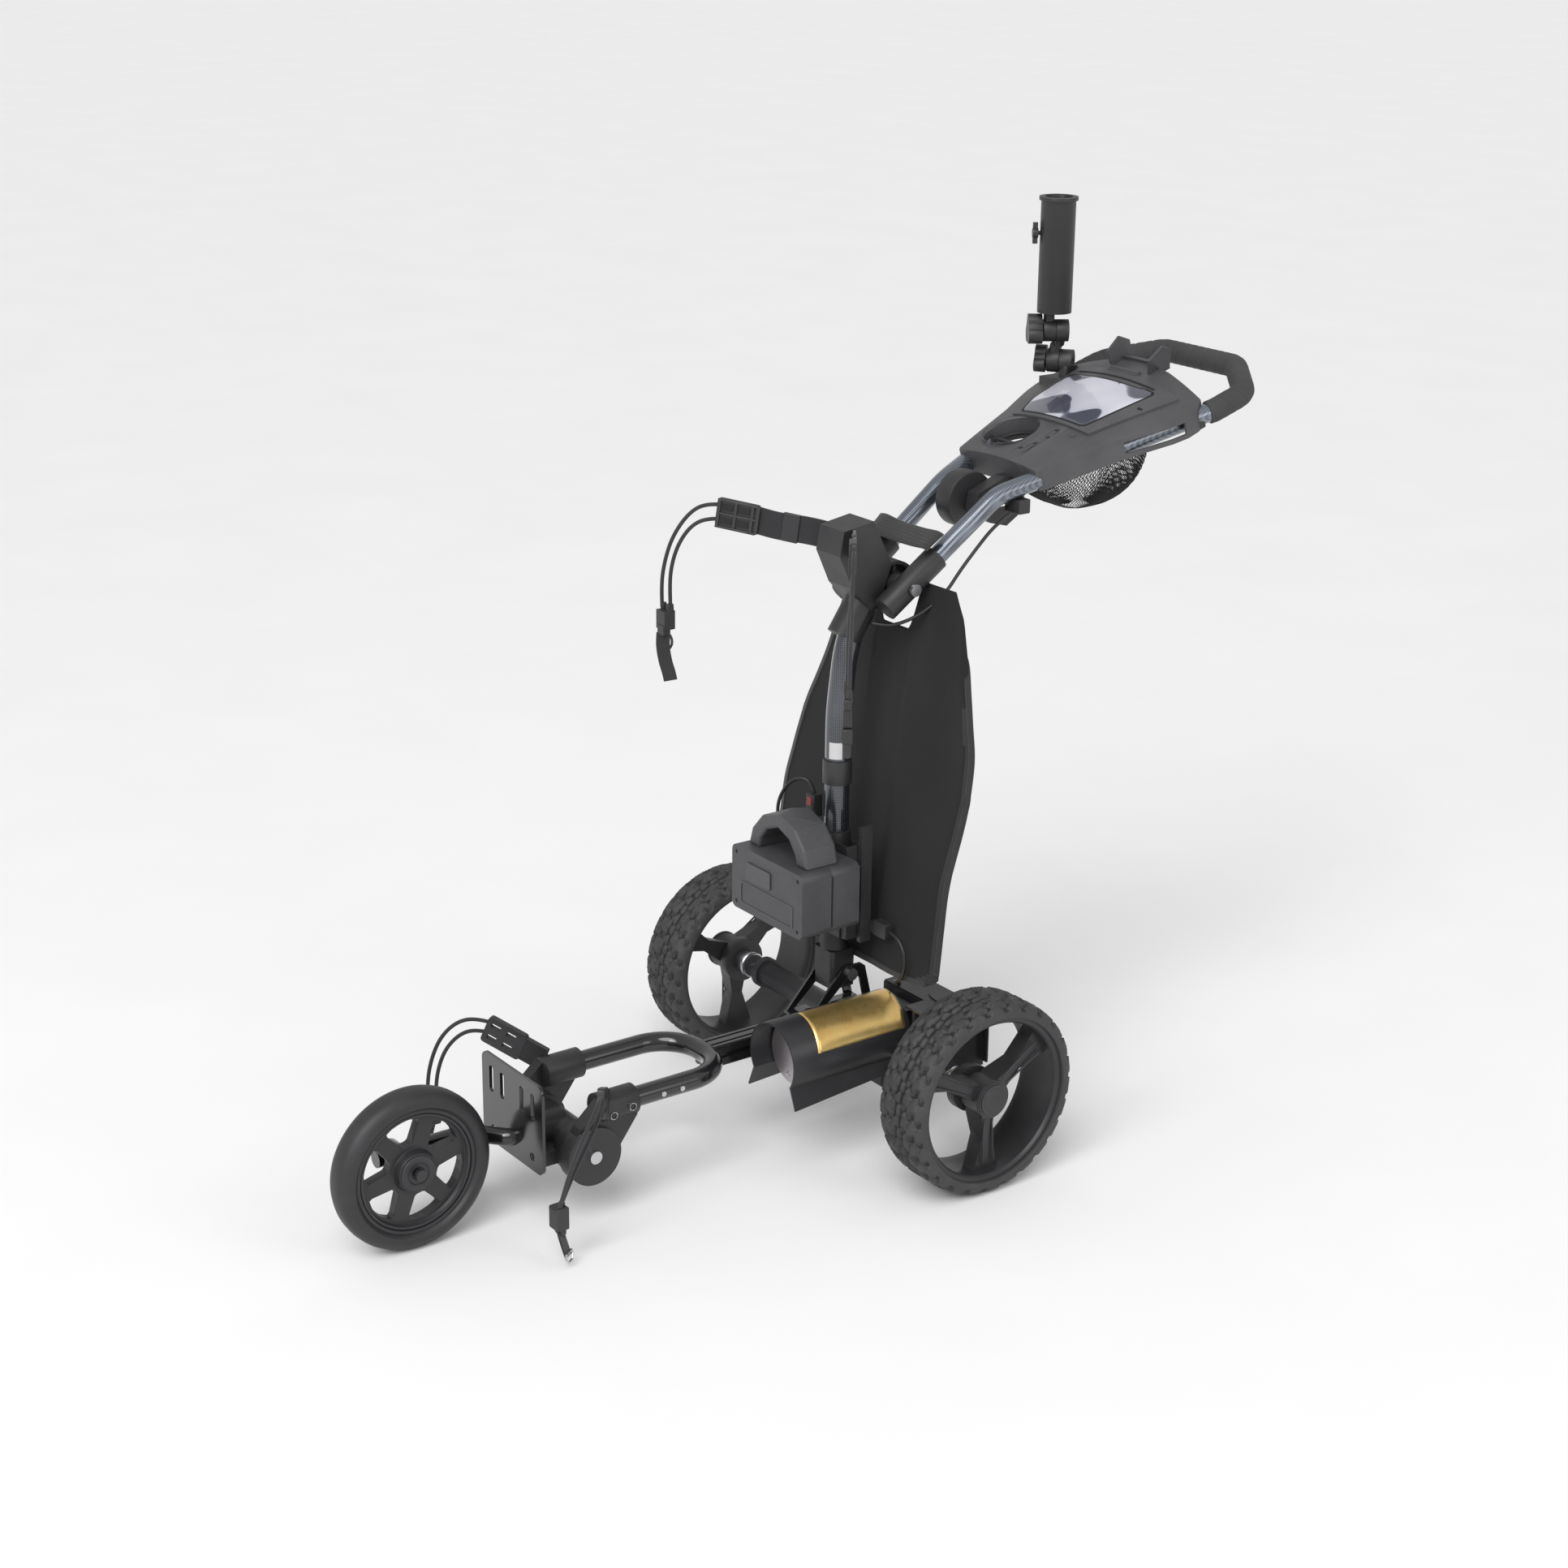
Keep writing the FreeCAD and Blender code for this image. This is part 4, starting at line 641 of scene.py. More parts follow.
for nm, node, body in (("upper_left_1", "upper_strap_ends", "mast"), ("lower_left_1", "lower_strap_ends", "chassis"),
                       ("lower_right_1", "lower_strap_ends", "chassis")):
    a, b = Vector(ROUTES[nm][-2]), Vector(ROUTES[nm][-1])
    bm = bmesh.new()
    add_lathe(bm, P(*b), (b - a).normalized(), [(-7, 3.2), (-6, 4.4), (0, 4.6), (4, 4.2), (6, 3.4)], 20)
    from_bm(nm + "_ferrule", bm, "mould", body)
    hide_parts(node)

for nm in ROUTES:
    if nm == "motor_lead":
        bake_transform(ml)
    elif nm == "handset_cable":
        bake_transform(hc)
    elif nm == "battery_lead":
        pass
    else:
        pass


# ------------------------------------------------------------ carried CAD nodes
LOOK = {
    "axle_tube": "satin", "gearbox_housing": "mould", "motor_can": "motor_steel", "motor_cover": "satin", "rear_deck": "satin",
    "boom": "gloss", "u_loop": "gloss", "front_housings": "mould", "lower_bag_arms": "mould", "frame_fasteners": "steel",
    "mast_hinge_plates": "gloss", "rear_rim_left": "rim", "rear_rim_right": "rim", "drive_shaft": "steel", "motor_rotor": "copper",
    "front_hinge_block": "mould", "bag_rest_plate": "gloss", "front_stem": "gloss", "front_axle": "satin", "front_rim": "rim",
    "mast_tube": "mast_carbon", "mast_sleeve": "mould", "battery_bracket": "mould", "upper_housing": "mould",
    "lead_sockets": "mould", "handle_pivot_bolt": "steel", "battery_case_front": "grey", "battery_case_rear": "grey",
    "battery_cells": "cells", "battery_handle": "grey", "battery_plug": "mould", "gauge_button": "mould",
    "tube_sleeves": "mould", "handle_frame": "handle_carbon", "console_body": "console", "rear_saddle": "grey",
    "drum_bracket": "mould", "umbrella_clamp": "mould", "console_lid": "console", "thumb_drum": "mould",
    "umbrella_link": "mould", "umbrella_socket": "mould", "tilt_knob_lower": "mould", "tilt_knob_upper": "mould", "wing_screw": "mould",
    "front_tyre": "tyre_front", "rear_tyre_left": "tyre", "rear_tyre_right": "tyre", "upper_bag_arms": "webbing",
    "back_panel": "canvas", "handle_grip": "foam", "top_strap": "webbing", "net_basket": "net",
}
SOFT_EDGE = {
    "front_housings": 1.6, "front_hinge_block": 1.6, "battery_case_front": 2.2, "battery_case_rear": 2.2, "battery_handle": 4.0,
    "upper_housing": 2.0, "lower_bag_arms": 0.8, "rear_rim_left": 1.2, "rear_rim_right": 1.2, "front_rim": 1.2, "thumb_drum": 2.0,
    "drum_bracket": 1.5, "umbrella_clamp": 1.5, "umbrella_link": 1.2, "tilt_knob_lower": 3.0, "tilt_knob_upper": 3.0,
    "umbrella_socket": 0.8, "gearbox_housing": 1.6, "battery_plug": 0.8, "lead_sockets": 0.8, "rear_saddle": 1.2,
    "console_body": 1.0, "console_lid": 0.7, "mast_sleeve": 0.8, "battery_bracket": 0.8, "bag_rest_plate": 0.7, "tube_sleeves": 0.8,
    "mast_hinge_plates": 0.6, "front_stem": 0.6, "wing_screw": 1.2, "motor_cover": 0.5, "rear_deck": 0.6, "front_tyre": 1.0,
}
for n, o in NODE.items():
    if n in LOOK:
        o.data.materials.clear()
        o.data.materials.append(M[LOOK[n]])
        for p in o.data.polygons:
            p.material_index = 0
    if n in SOFT_EDGE and not o.hide_render:
        w = o.modifiers.new("weld", "WELD")
        w.merge_threshold = 0.00002
        b = o.modifiers.new("bevel", "BEVEL")
        b.width = SOFT_EDGE[n] / 1000
        b.segments = 2
        b.limit_method = "ANGLE"
        b.angle_limit = math.radians(38)
        b.use_clamp_overlap = True
        b.harden_normals = False


# ---------------------------------------------------------------------- tyres
def bump1(x):
    return max(0.0, 1 - x * x) ** 2


def rear_tyre(name, side):
    """Moulded tread: wavy wedges from both shoulders, small pods along the middle."""
    n, m = 560, 56
    w = 44.0
    verts, faces, uvs = [], [], []
    prof = [(-w, 119.3), (-w, 126.0), (-w + 2.5, 131.5), (-w + 6, 135.4), (-w + 12, 137.6), (-w + 22, 138.9), (0, 139.4)]
    prof = prof + [(-x, r) for x, r in prof[-2::-1]]
    arc = [0.0]
    for a, b in zip(prof, prof[1:]):
        arc.append(arc[-1] + math.hypot(b[0] - a[0], b[1] - a[1]))

    def at(t):
        s = t * arc[-1]
        for i in range(len(prof) - 1):
            if s <= arc[i + 1] or i == len(prof) - 2:
                k = (s - arc[i]) / (arc[i + 1] - arc[i])
                return prof[i][0] + (prof[i + 1][0] - prof[i][0]) * k, prof[i][1] + (prof[i + 1][1] - prof[i][1]) * k

    lugs = 26
    low = []
    for i in range(n):
        th = 2 * math.pi * i / n
        for j in range(m):
            x, r = at(j / (m - 1))
            ax = abs(x)
            sgn = 1 if x > 0 else -1
            ph = th * lugs / (2 * math.pi) + (0.5 if sgn > 0 else 0.0)
            wave = 0.17 * math.sin(ax * 0.42 + sgn) + 0.10 * math.sin(ax * 0.95 + 1.3 * sgn) - 0.012 * ax
            q = (ph + wave) % 1.0
            tri = abs(q - 0.5) * 2
            lug = 1 / (1 + math.exp((tri - 0.64) * 22))
            reach = 1 / (1 + math.exp((8.5 - ax) * 1.1))
            h = 4.6 * lug * reach
            ridge = math.exp(-((tri - 0.5) / 0.10) ** 2)
            h += 0.5 * ridge * reach
            q2 = (ph * 1.0 + 0.25 + 0.04 * math.sin(th * 9)) % 1.0
            pod = bump1((q2 - 0.5) / 0.30) * bump1(x / 6.5)
            h = max(h, 4.4 * min(1.0, pod * 2.2))
            edge = 1.0 if 8 < j < m - 9 else max(0.0, min(1.0, (min(j, m - 1 - j) - 2) / 6))
            rr = (r - 4.4 + h * edge + 4.4 * (1 - edge)) if r > 126 else r
            rr = min(rr, 139.95)
            # mask of the groove floors between the lugs, which get painted shade
            low.append(edge > 0.6 and h < 2.2)
            verts.append(P(side * 285 + x, rr * math.cos(th), 140 + rr * math.sin(th)))
            uvs.append((x / 1000, th * 0.14))
    for i in range(n):
        for j in range(m - 1):
            a, b = i * m + j, ((i + 1) % n) * m + j
            faces.append((a, b, b + 1, a + 1))
    base = len(verts)
    for i in range(n):
        th = 2 * math.pi * i / n
        for x in (-w + 2, w - 2):
            verts.append(P(side * 285 + x, 118.6 * math.cos(th), 140 + 118.6 * math.sin(th)))
            uvs.append((x / 1000, th * 0.14))
    for i in range(n):
        j = (i + 1) % n
        faces.append((i * m, base + 2 * i, base + 2 * j, j * m))
        faces.append((i * m + m - 1, j * m + m - 1, base + 2 * j + 1, base + 2 * i + 1))
        faces.append((base + 2 * i, base + 2 * i + 1, base + 2 * j + 1, base + 2 * j))
    o = obj_from(name, verts, faces, "tyre", "rear_wheel_left" if side > 0 else "rear_wheel_right", uvs)
    bm = bmesh.new()
    bm.from_mesh(o.data)
    bmesh.ops.recalc_face_normals(bm, faces=bm.faces)
    bm.to_mesh(o.data)
    bm.free()
    # the low groove faces get the darker groove material: painted shade in the tread grooves
    o.data.materials.append(M["groove"])
    for p in o.data.polygons:
        if all(k < len(low) and low[k] for k in p.vertices):
            p.material_index = 1
    o.data.shade_smooth()
    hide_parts("rear_tyre_left" if side > 0 else "rear_tyre_right")
    return o


rear_tyre("rear_tread_left", 1)
rear_tyre("rear_tread_right", -1)

# bright collar rings on the inner side of the rear hubs, ribs on the spokes
for side, body in ((1, "rear_wheel_left"), (-1, "rear_wheel_right")):
    tag = "left" if side > 0 else "right"
    bm = bmesh.new()
    add_lathe(bm, P(side * 237.5, 0, 140), (side, 0, 0), [(0, 15), (0.6, 18.6), (3, 19.2), (4, 17.8), (6, 19.4), (9, 19.4), (10, 17.6),
                                                     (13, 19.0), (17, 18.6), (18, 17.0)], 48)
    from_bm("hub_collar_" + tag, bm, "steel", body)
    bm = bmesh.new()
    for k in range(3):
        a = math.radians(120 * k + 62)
        for r0, r1, w0 in ((32, 100, 2.4),):
            for off in (-5.5, 5.5):
                c = P(side * 310.5, 0, 140)
                er = Vector((0, -math.sin(a), math.cos(a)))
                et = Vector((0, math.cos(a), math.sin(a)))
                p0 = c + er * (r0 / 1000) + et * (off * 1.2 / 1000)
                p1 = c + er * (r1 / 1000) + et * (off * 1.7 / 1000)
                mid = (p0 + p1) / 2
                dr_ = (p1 - p0).normalized()
                rot = Matrix((dr_, Vector((side, 0, 0)).cross(dr_) * 1.0, Vector((side, 0, 0)))).transposed()
                add_box(bm, mid, ((p1 - p0).length * 1000, 2.2, 3.0), rot)
    o = bevel(from_bm("spoke_ribs_" + tag, bm, "rim", body), 0.0008, 2)
    bm = bmesh.new()
    for k in range(3):
        a = math.radians(120 * k + 2)
        add_cyl(bm, P(side * 321, 0, 140) + Vector((0, -math.sin(a), math.cos(a))) * 0.0236, (side, 0, 0), 2.0, 1.4, 16, 0.3)
    add_lathe(bm, P(side * 321.0, 0, 140), (side, 0, 0), [(0, 24.5), (1.2, 24.5), (1.6, 23.6), (1.2, 21.5), (2.2, 17), (3.4, 16), (3.0, 8), (3.1, 0.1)], 56)
    from_bm("hub_face_" + tag, bm, "rim", body)

# ------------------------------------------------------------ front wheel
bm = bmesh.new()
for x0, s in ((23.0, 1), (-23.0, -1)):
    add_lathe(bm, P(s * 13.2, -715, 112), (s, 0, 0), [(0, 80.4), (1.8, 80.4), (2.3, 79.8), (2.3, 77.6), (0, 77.2)], 72, True)
from_bm("front_rim_steps", bm, "rim", "front_wheel")
bm = bmesh.new()
add_lathe(bm, P(20, -715, 112), (1, 0, 0), [(0, 25), (1.5, 25), (2.4, 24), (2.0, 16), (0.6, 14.5), (0.6, 9.5), (0, 9.3)], 48, True)
from_bm("front_hub_ring", bm, "rim", "front_wheel")
bm = bmesh.new()
add_lathe(bm, P(26.2, -715, 112), (1, 0, 0), [(0, 7.6), (1.6, 7.6), (2.4, 6.6), (2.8, 3.6), (2.0, 3.4), (2.0, 0.1)], 6)
from_bm("front_axle_nut", bm, "steel", "front_assembly")

# -------------------------------------------------------------------- panel
L_SIDE = [(240, -60), (252, -176), (320, -196), (390, -206), (450, -203), (560, -182), (650, -146), (722, -122)]
R_SIDE = [(240, 60), (250, 150), (268, 185), (330, 182), (400, 180), (470, 192), (520, 198), (580, 194), (640, 176), (706, 153), (724, 126)]


def lerp_tab(tab, z):
    if z <= tab[0][0]:
        return tab[0][1]
    for (a, x0), (b, x1) in zip(tab, tab[1:]):
        if z <= b:
            return x0 + (x1 - x0) * (z - a) / (b - a)
    return tab[-1][1]


def panel_y(x, z):
    y = 1 + 0.1396 * (z - 250) + 1.5
    n1 = noise.noise(Vector((x / 95, z / 190, 3.1))) * 3.2
    pull = math.sin(x / 17.0 + 0.6 * math.sin(z / 60)) * 1.5 * math.exp(-((z - 700) / 90) ** 2)
    drop = math.sin(x / 34.0 + 1.2) * 1.8 * math.exp(-((z - 255) / 110) ** 2)
    keep = 1.0 if abs(x) > 40 else 0.35
    return y + (n1 + pull + drop) * keep


nu, nv = 84, 110
verts, faces, uvs = [], [], []
for j in range(nv + 1):
    v = j / nv
    z0 = 244 + (720 - 244) * v
    lift = max(0.0, (v - 0.9) / 0.1)
    xl, xr = lerp_tab(L_SIDE, z0 + 14 * (1 - v) ** 3), lerp_tab(R_SIDE, z0 + 14 * (1 - v) ** 3)
    for i in range(nu + 1):
        u = i / nu
        x = xl + (xr - xl) * u
        z = z0 + (1 - v) ** 10 * (abs(x) / 185) ** 4 * 10 - 2 * (1 - v) ** 10
        k = min(1.0, max(0.0, (abs(x) - 26) / 30))
        z += lift * 70 * k * k * (3 - 2 * k)
        x *= 1 - 0.13 * lift * k
        y = panel_y(x, z)
        dn = (xr - x)
        if dn < 16:
            y += (16 - dn) * 0.35
        verts.append(P(x, y, z))
        uvs.append((x / 1000, z / 1000))
for j in range(nv):
    for i in range(nu):
        a = j * (nu + 1) + i
        faces.append((a, a + 1, a + nu + 2, a + nu + 1))
panel = obj_from("back_panel_cloth", verts, faces, "canvas", None, uvs)
panel.data.materials.append(M["gusset"])
for p in panel.data.polygons:
    c = p.center
    z = c.z * 1000
    if z < 640 and c.x * 1000 > lerp_tab(R_SIDE, z) - 15:
        p.material_index = 1
sol = panel.modifiers.new("cloth", "SOLIDIFY")
sol.thickness = 0.0014
sol.offset = 0.0
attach(panel, "mast")
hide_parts("back_panel")


def edge_band(name, tab, zs, inset, width, thick):
    pts, hs = [], []
    for z in zs:
        x = lerp_tab(tab, z)
        x = x - inset if x > 0 else x + inset
        dn = lerp_tab(tab, z) - x
        y = panel_y(x, z) + (max(0, 16 - dn) * 0.35 if x > 0 else 0)
        pts.append(P(x, y, z))
        hs.append(Vector((0.2 if x > 0 else -0.2, -1, 0.14)).normalized())
    o = strap(name, pts, width, thick, "webbing", "mast", hs)
    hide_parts("back_panel")
    return o


hem_l = edge_band("panel_hem_left", L_SIDE, [256, 290, 330, 370, 410, 450, 490, 530, 570, 610, 650, 690, 716], 4.0, 9, 2.4)
hem_r = edge_band("panel_hem_right", R_SIDE, [270, 300, 340, 380, 420, 460, 500, 540, 580, 620, 660, 700, 716], 4.0, 9, 2.4)
hem_i = edge_band("panel_seam_right", [(z, x - 15) for z, x in R_SIDE], [275, 310, 350, 390, 430, 470, 510, 550, 590, 630], 2.0, 3, 1.9)
pts = [P(x, panel_y(x, 247 + (abs(x) / 185) ** 4 * 10) - 0.2, 246 + (abs(x) / 185) ** 4 * 12) for x in range(-168, 177, 24)]
hem_b = strap("panel_hem_bottom", pts, 8, 2.4, "webbing", "mast", [Vector((0, -1, 0.14))] * len(pts))
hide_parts("back_panel")


# ---------------------------------------------------------- foam handle grip
def bent_rod(points, radii, step=1.2):
    """Centre line of the rigid handle tube: straight lengths and factory bends."""
    pts = [Vector(p) for p in points]
    out = []

    def line(a, b):
        n = max(1, int((b - a).length / step))
        for k in range(n):
            out.append(a.lerp(b, k / n))
    cur = pts[0]
    for i in range(1, len(pts) - 1):
        a = (pts[i - 1] - pts[i]).normalized()
        b = (pts[i + 1] - pts[i]).normalized()
        half = (math.pi - a.angle(b)) / 2
        r = radii[i - 1]
        t = r * math.tan(half)
        s, e = pts[i] + a * t, pts[i] + b * t
        line(cur, s)
        centre = pts[i] + (a + b).normalized() * (r / math.cos(half))
        ax = (s - centre).cross(e - centre).normalized()
        n = max(2, int(r * 2 * half / step))
        for k in range(n):
            out.append(centre + Matrix.Rotation(2 * half * k / n, 3, ax) @ (s - centre))
        cur = e
    line(cur, pts[-1])
    out.append(pts[-1])
    return out


gl = bent_rod([(144.0, 498.5, 991.2), (147, 509, 994.5), (146, 566, 1012), (74, 619, 1033), (-74, 619, 1033), (-146, 566, 1012),
               (-147, 509, 994.5), (-144.0, 498.5, 991.2)], [50.0, 36.0, 36.0, 36.0, 36.0, 50.0])
verts, faces, uvs = [], [], []
seg = 44
s = 0.0
ref = Vector((0, 0, 1))
total = sum((b - a).length for a, b in zip(gl, gl[1:]))
for i, p in enumerate(gl):
    d = (gl[min(i + 1, len(gl) - 1)] - gl[max(i - 1, 0)]).normalized()
    if i:
        s += (p - gl[i - 1]).length
    u = (ref - d * ref.dot(d)).normalized()
    v = d.cross(u)
    for k in range(seg):
        a = 2 * math.pi * k / seg
        lean = 4.5 * math.cos(a + 0.8)
        q = (s + lean) % 27.0
        q = min(q, 27.0 - q)
        r = 16.35 - 1.0 * math.exp(-(q / 0.75) ** 2) + 0.28 * math.sin(math.pi * min(1, q / 13.5))
        r += 0.12 * noise.noise(Vector((p.x / 9, p.y / 9, p.z / 9 + k)))
        end = min(s, total - s)
        if end < 2.5:
            r -= (2.5 - end) ** 2 * 0.22
        verts.append(P(*(p + (u * math.cos(a) + v * math.sin(a)) * r)))
        uvs.append((k / seg * 0.1, s / 1000))
for i in range(len(gl) - 1):
    for k in range(seg):
        faces.append((i * seg + k, i * seg + (k + 1) % seg, (i + 1) * seg + (k + 1) % seg, (i + 1) * seg + k))
for base, sgn in ((0, 1), ((len(gl) - 1) * seg, -1)):
    c = len(verts)
    p = gl[0] if base == 0 else gl[-1]
    d = ((gl[1] - gl[0]) if base == 0 else (gl[-1] - gl[-2])).normalized()
    u = (ref - d * ref.dot(d)).normalized()
    v = d.cross(u)
    for k in range(seg):
        a = 2 * math.pi * k / seg
        verts.append(P(*(p + (u * math.cos(a) + v * math.sin(a)) * 13.4)))
        uvs.append((0, 0))
    for k in range(seg):
        f = (base + k, c + k, c + (k + 1) % seg, base + (k + 1) % seg)
        faces.append(f if sgn > 0 else f[::-1])
grip = obj_from("foam_grip", verts, faces, "foam", "handle", uvs)
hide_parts("handle_grip")


# --------------------------------------------------------------- net basket
def bag_pt(a, v):
    """a runs round the mouth, v from the mouth down to the bottom."""
    ca, sa = math.cos(a), math.sin(a)
    k = 1 / max(abs(ca), abs(sa)) ** 0.55
    shrink = (1 - v ** 3.2) ** 0.42 if v < 1 else 0
    x = 71 * ca * k * shrink * (0.80 + 0.2 * (1 - v * v))
    x = max(-71, min(71, x))
    yc, yr = 388, 98
    y = yc + yr * sa * k * shrink
    y = max(286, min(488, y))
    top = 914 + (y - 286) * 0.29
    low = 843 + 24 * ((y - 395) / 100) ** 2
    z = top * (1 - v ** 0.9) + low * v ** 0.9
    w = math.sin(a * 5 + v * 4) * 2.2 * v + math.sin(a * 11 + 2) * 1.2 * v * (1 - v) * 2
    x += w * 0.7
    y += w * 0.5
    return P(max(-72.5, min(72.5, x)), y, z)


na, nvv = 108, 26
idx = {}
verts, faces = [], []


def vid(i, j):
    key = (i % (2 * na), j)
    if key not in idx:
        idx[key] = len(verts)
        verts.append(bag_pt(math.pi * (i % (2 * na)) / na, min(0.985, j / nvv * 0.985)))
    return idx[key]


for j in range(1, nvv):
    for i in range(2 * na):
        if (i + j) % 2 == 1:
            faces.append((vid(i - 1, j), vid(i, j - 1), vid(i + 1, j), vid(i, j + 1)))
net = obj_from("net_bag", verts, faces, "net", "handle", smooth=False)
wf = net.modifiers.new("thread", "WIREFRAME")
wf.thickness = 0.0013
wf.use_replace = True
wf.use_even_offset = False
wf.use_boundary = True
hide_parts("net_basket")
rim_pts = [bag_pt(2 * math.pi * k / 48, 0.0) for k in range(49)]
net_rim = strap("net_rim", rim_pts, 5, 2.2, "webbing", "handle", [Vector((0, 0, 1))] * 49, steps=2)
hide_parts("net_basket")

# ------------------------------------------------------- webbing arms, straps
for side, tag in ((1, "left"), (-1, "right")):
    a, b = P(side * 24, -26, 852), P(side * 155, -127, 874)
    d = (b - a).normalized()
    sidev = d.cross(Vector((0, 0, 1))).normalized()
    up = sidev.cross(d).normalized()
    nrm = sidev if sidev.y < 0 else -sidev
    pts = [a + d * t + up * (0.0012 * math.sin(t * 60)) for t in (0.0, 0.02, 0.04, 0.06, 0.08, 0.1, 0.116)]
    web = strap("arm_webbing_" + tag, pts, 38, 3.2, "webbing", "mast", [nrm] * 7, wave=0.5)
    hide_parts("upper_bag_arms")
    bm = bmesh.new()
    out = rounded([(-21, 0), (21, 0), (21, 62), (-21, 62)], 6)
    m0 = b - d * 0.062 - nrm * 0.0035
    add_prism(bm, out, 7.5, m0, up * (1 if (up.cross(d)).dot(nrm) > 0 else -1), d)
    plate = bevel(from_bm("arm_plate_" + tag, bm, "mould", "mast"), 0.0015, 3)
    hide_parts("upper_bag_arms")
    bm = bmesh.new()
    for f in (16, 40):
        for g in (-9.5, 9.5):
            c = b - d * (f / 1000) + up * (g / 1000) + nrm * 0.0042
            rot = Matrix((d, up, nrm)).transposed()
            add_box(bm, c, (16, 9, 1.4), rot)
    slots = bevel(from_bm("arm_slots_" + tag, bm, "slotdark", "mast"), 0.0005, 2)
    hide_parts("upper_bag_arms")
    bm = bmesh.new()
    for f in (4, 28, 52, 60):
        c = b - d * (f / 1000) + nrm * 0.0052
        rot = Matrix((d, up, nrm)).transposed()
        add_box(bm, c, (4.4, 38, 3.4), rot)
    for g in (-19, 0, 19):
        c = b - d * 0.030 + up * (g / 1000) + nrm * 0.0050
        rot = Matrix((d, up, nrm)).transposed()
        add_box(bm, c, (58, 3.4, 3.0), rot)
    ribs = bevel(from_bm("arm_ribs_" + tag, bm, "mould", "mast"), 0.0009, 2)
    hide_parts("upper_bag_arms")
    bm = bmesh.new()
    c = a + d * 0.060 + nrm * 0.0014
    rot = Matrix((d, up, nrm)).transposed()
    add_box(bm, c, (24, 40, 5.0), rot)
    keeper = bevel(from_bm("arm_keeper_" + tag, bm, "satin", "mast"), 0.0012, 3)
    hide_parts("upper_bag_arms")

tn = Vector((0, -0.594, 0.804))
ts = strap("top_strap_web", [P(-67, 78, 849), P(-55, 78, 850.5), P(-30, 78, 848.4), P(0, 78, 847.8), P(30, 78, 848.4), P(55, 78, 850.5),
                             P(67, 78, 849)], 33, 2.6, "webbing", "handle", [tn] * 7, wave=0.3)
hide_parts("top_strap")

# ------------------------------------------------------------------- console
SL = math.radians(17.2)
CY, CN = Vector((0, math.cos(SL), math.sin(SL))), Vector((0, -math.sin(SL), math.cos(SL)))
CO = P(0, 240, 926)


def con(x, s, n):
    return CO + Vector((x / 1000, 0, 0)) + CY * (s / 1000) + CN * (n / 1000)


def dome(x, s, dn=0.0):
    return 10.2 + dn + 0.07 * s - x * x / 962


def skin(name, outline, dn, thick, mat, body, n=26, crown=0.0):
    """Thin plate that follows the domed top: the outline is filled with rows."""
    ss = [q[1] for q in outline]
    s0, s1 = min(ss), max(ss)
    verts, faces = [], []
    rows = []
    for j in range(n + 1):
        s_ = s0 + (s1 - s0) * (0.002 + 0.996 * j / n)
        xs = []
        for (x0, a), (x1, b) in zip(outline, outline[1:] + outline[:1]):
            if (a - s_) * (b - s_) < 0:
                xs.append(x0 + (x1 - x0) * (s_ - a) / (b - a))
        rows.append((s_, min(xs), max(xs)))
    for s_, xa, xb in rows:
        for i in range(n + 1):
            x = xa + (xb - xa) * i / n
            edge = min(i, n - i, ) / n
            verts.append(con(x, s_, dome(x, s_, dn + thick)))
    for j in range(n):
        for i in range(n):
            a = j * (n + 1) + i
            faces.append((a, a + 1, a + n + 2, a + n + 1))
    o = obj_from(name, verts, faces, mat, body)
    so = o.modifiers.new("thick", "SOLIDIFY")
    so.thickness = thick / 1000
    so.offset = -1
    bv = o.modifiers.new("bevel", "BEVEL")
    bv.width = thick / 3000
    bv.segments = 2
    bv.limit_method = "ANGLE"
    return o


WIN = rounded([(-68, 112), (60, 112), (86, 226), (-86, 224), (-86, 150)], 7)
skin("lid_window", WIN, 3.4, 0.5, "window", "lid")
skin("lid_window_frame", rounded([(-71, 109), (63, 109), (89.5, 229), (-89.5, 227), (-89.5, 149)], 8), 3.35, 0.25, "slotdark", "lid")
skin("lid_slot", rounded([(-78, 231.5), (80, 231.5), (80, 235), (-78, 235)], 1.6), 3.45, 0.5, "slotdark", "lid", 14)
skin("lid_latch", rounded([(92, 186), (100, 186), (101, 190), (93, 190)], 1.2), 3.45, 0.6, "slotdark", "lid", 8)
bm = bmesh.new()
for x, s_ in ((60, 92), (-90, 82)):
    add_lathe(bm, con(x, s_, dome(x, s_) - 0.4), CN, [(0, 5.4), (0.9, 5.4), (1.1, 4.9), (0.8, 3.9), (1.2, 3.5), (1.4, 0.1)], 32)
from_bm("console_caps", bm, "console", "handle")
bm = bmesh.new()
add_box(bm, con(-38, 58, -4), (83, 5.0, 5.0), Matrix((Vector((1, 0, 0)), CY, CN)).transposed())
add_lathe(bm, con(-38, 64, -12), CN, [(0, 41.8), (3.5, 41.8), (3.5, 38.5), (0, 38.5)], 56, True)
bevel(from_bm("cup_bar", bm, "mould", "handle"), 0.0008, 2)
bm = bmesh.new()
add_lathe(bm, con(-38, 64, dome(-38, 64) - 1.5), CN, [(0, 42.0), (1.6, 43.4), (2.4, 44.2), (2.6, 43.6), (2.2, 42.4), (0.6, 41.2)], 72, True)
bpy_cup = from_bm("cup_lip", bm, "console", "handle")
# dark little bracket under the rear corner
bm = bmesh.new()
add_box(bm, con(140, 236, -18), (16, 22, 16), Matrix((Vector((1, 0, 0)), CY, CN)).transposed())
add_box(bm, con(148, 246, -22), (10, 14, 12), Matrix((Vector((1, 0, 0)), CY, CN)).transposed())
bevel(from_bm("corner_bracket", bm, "mould", "handle"), 0.002, 3)

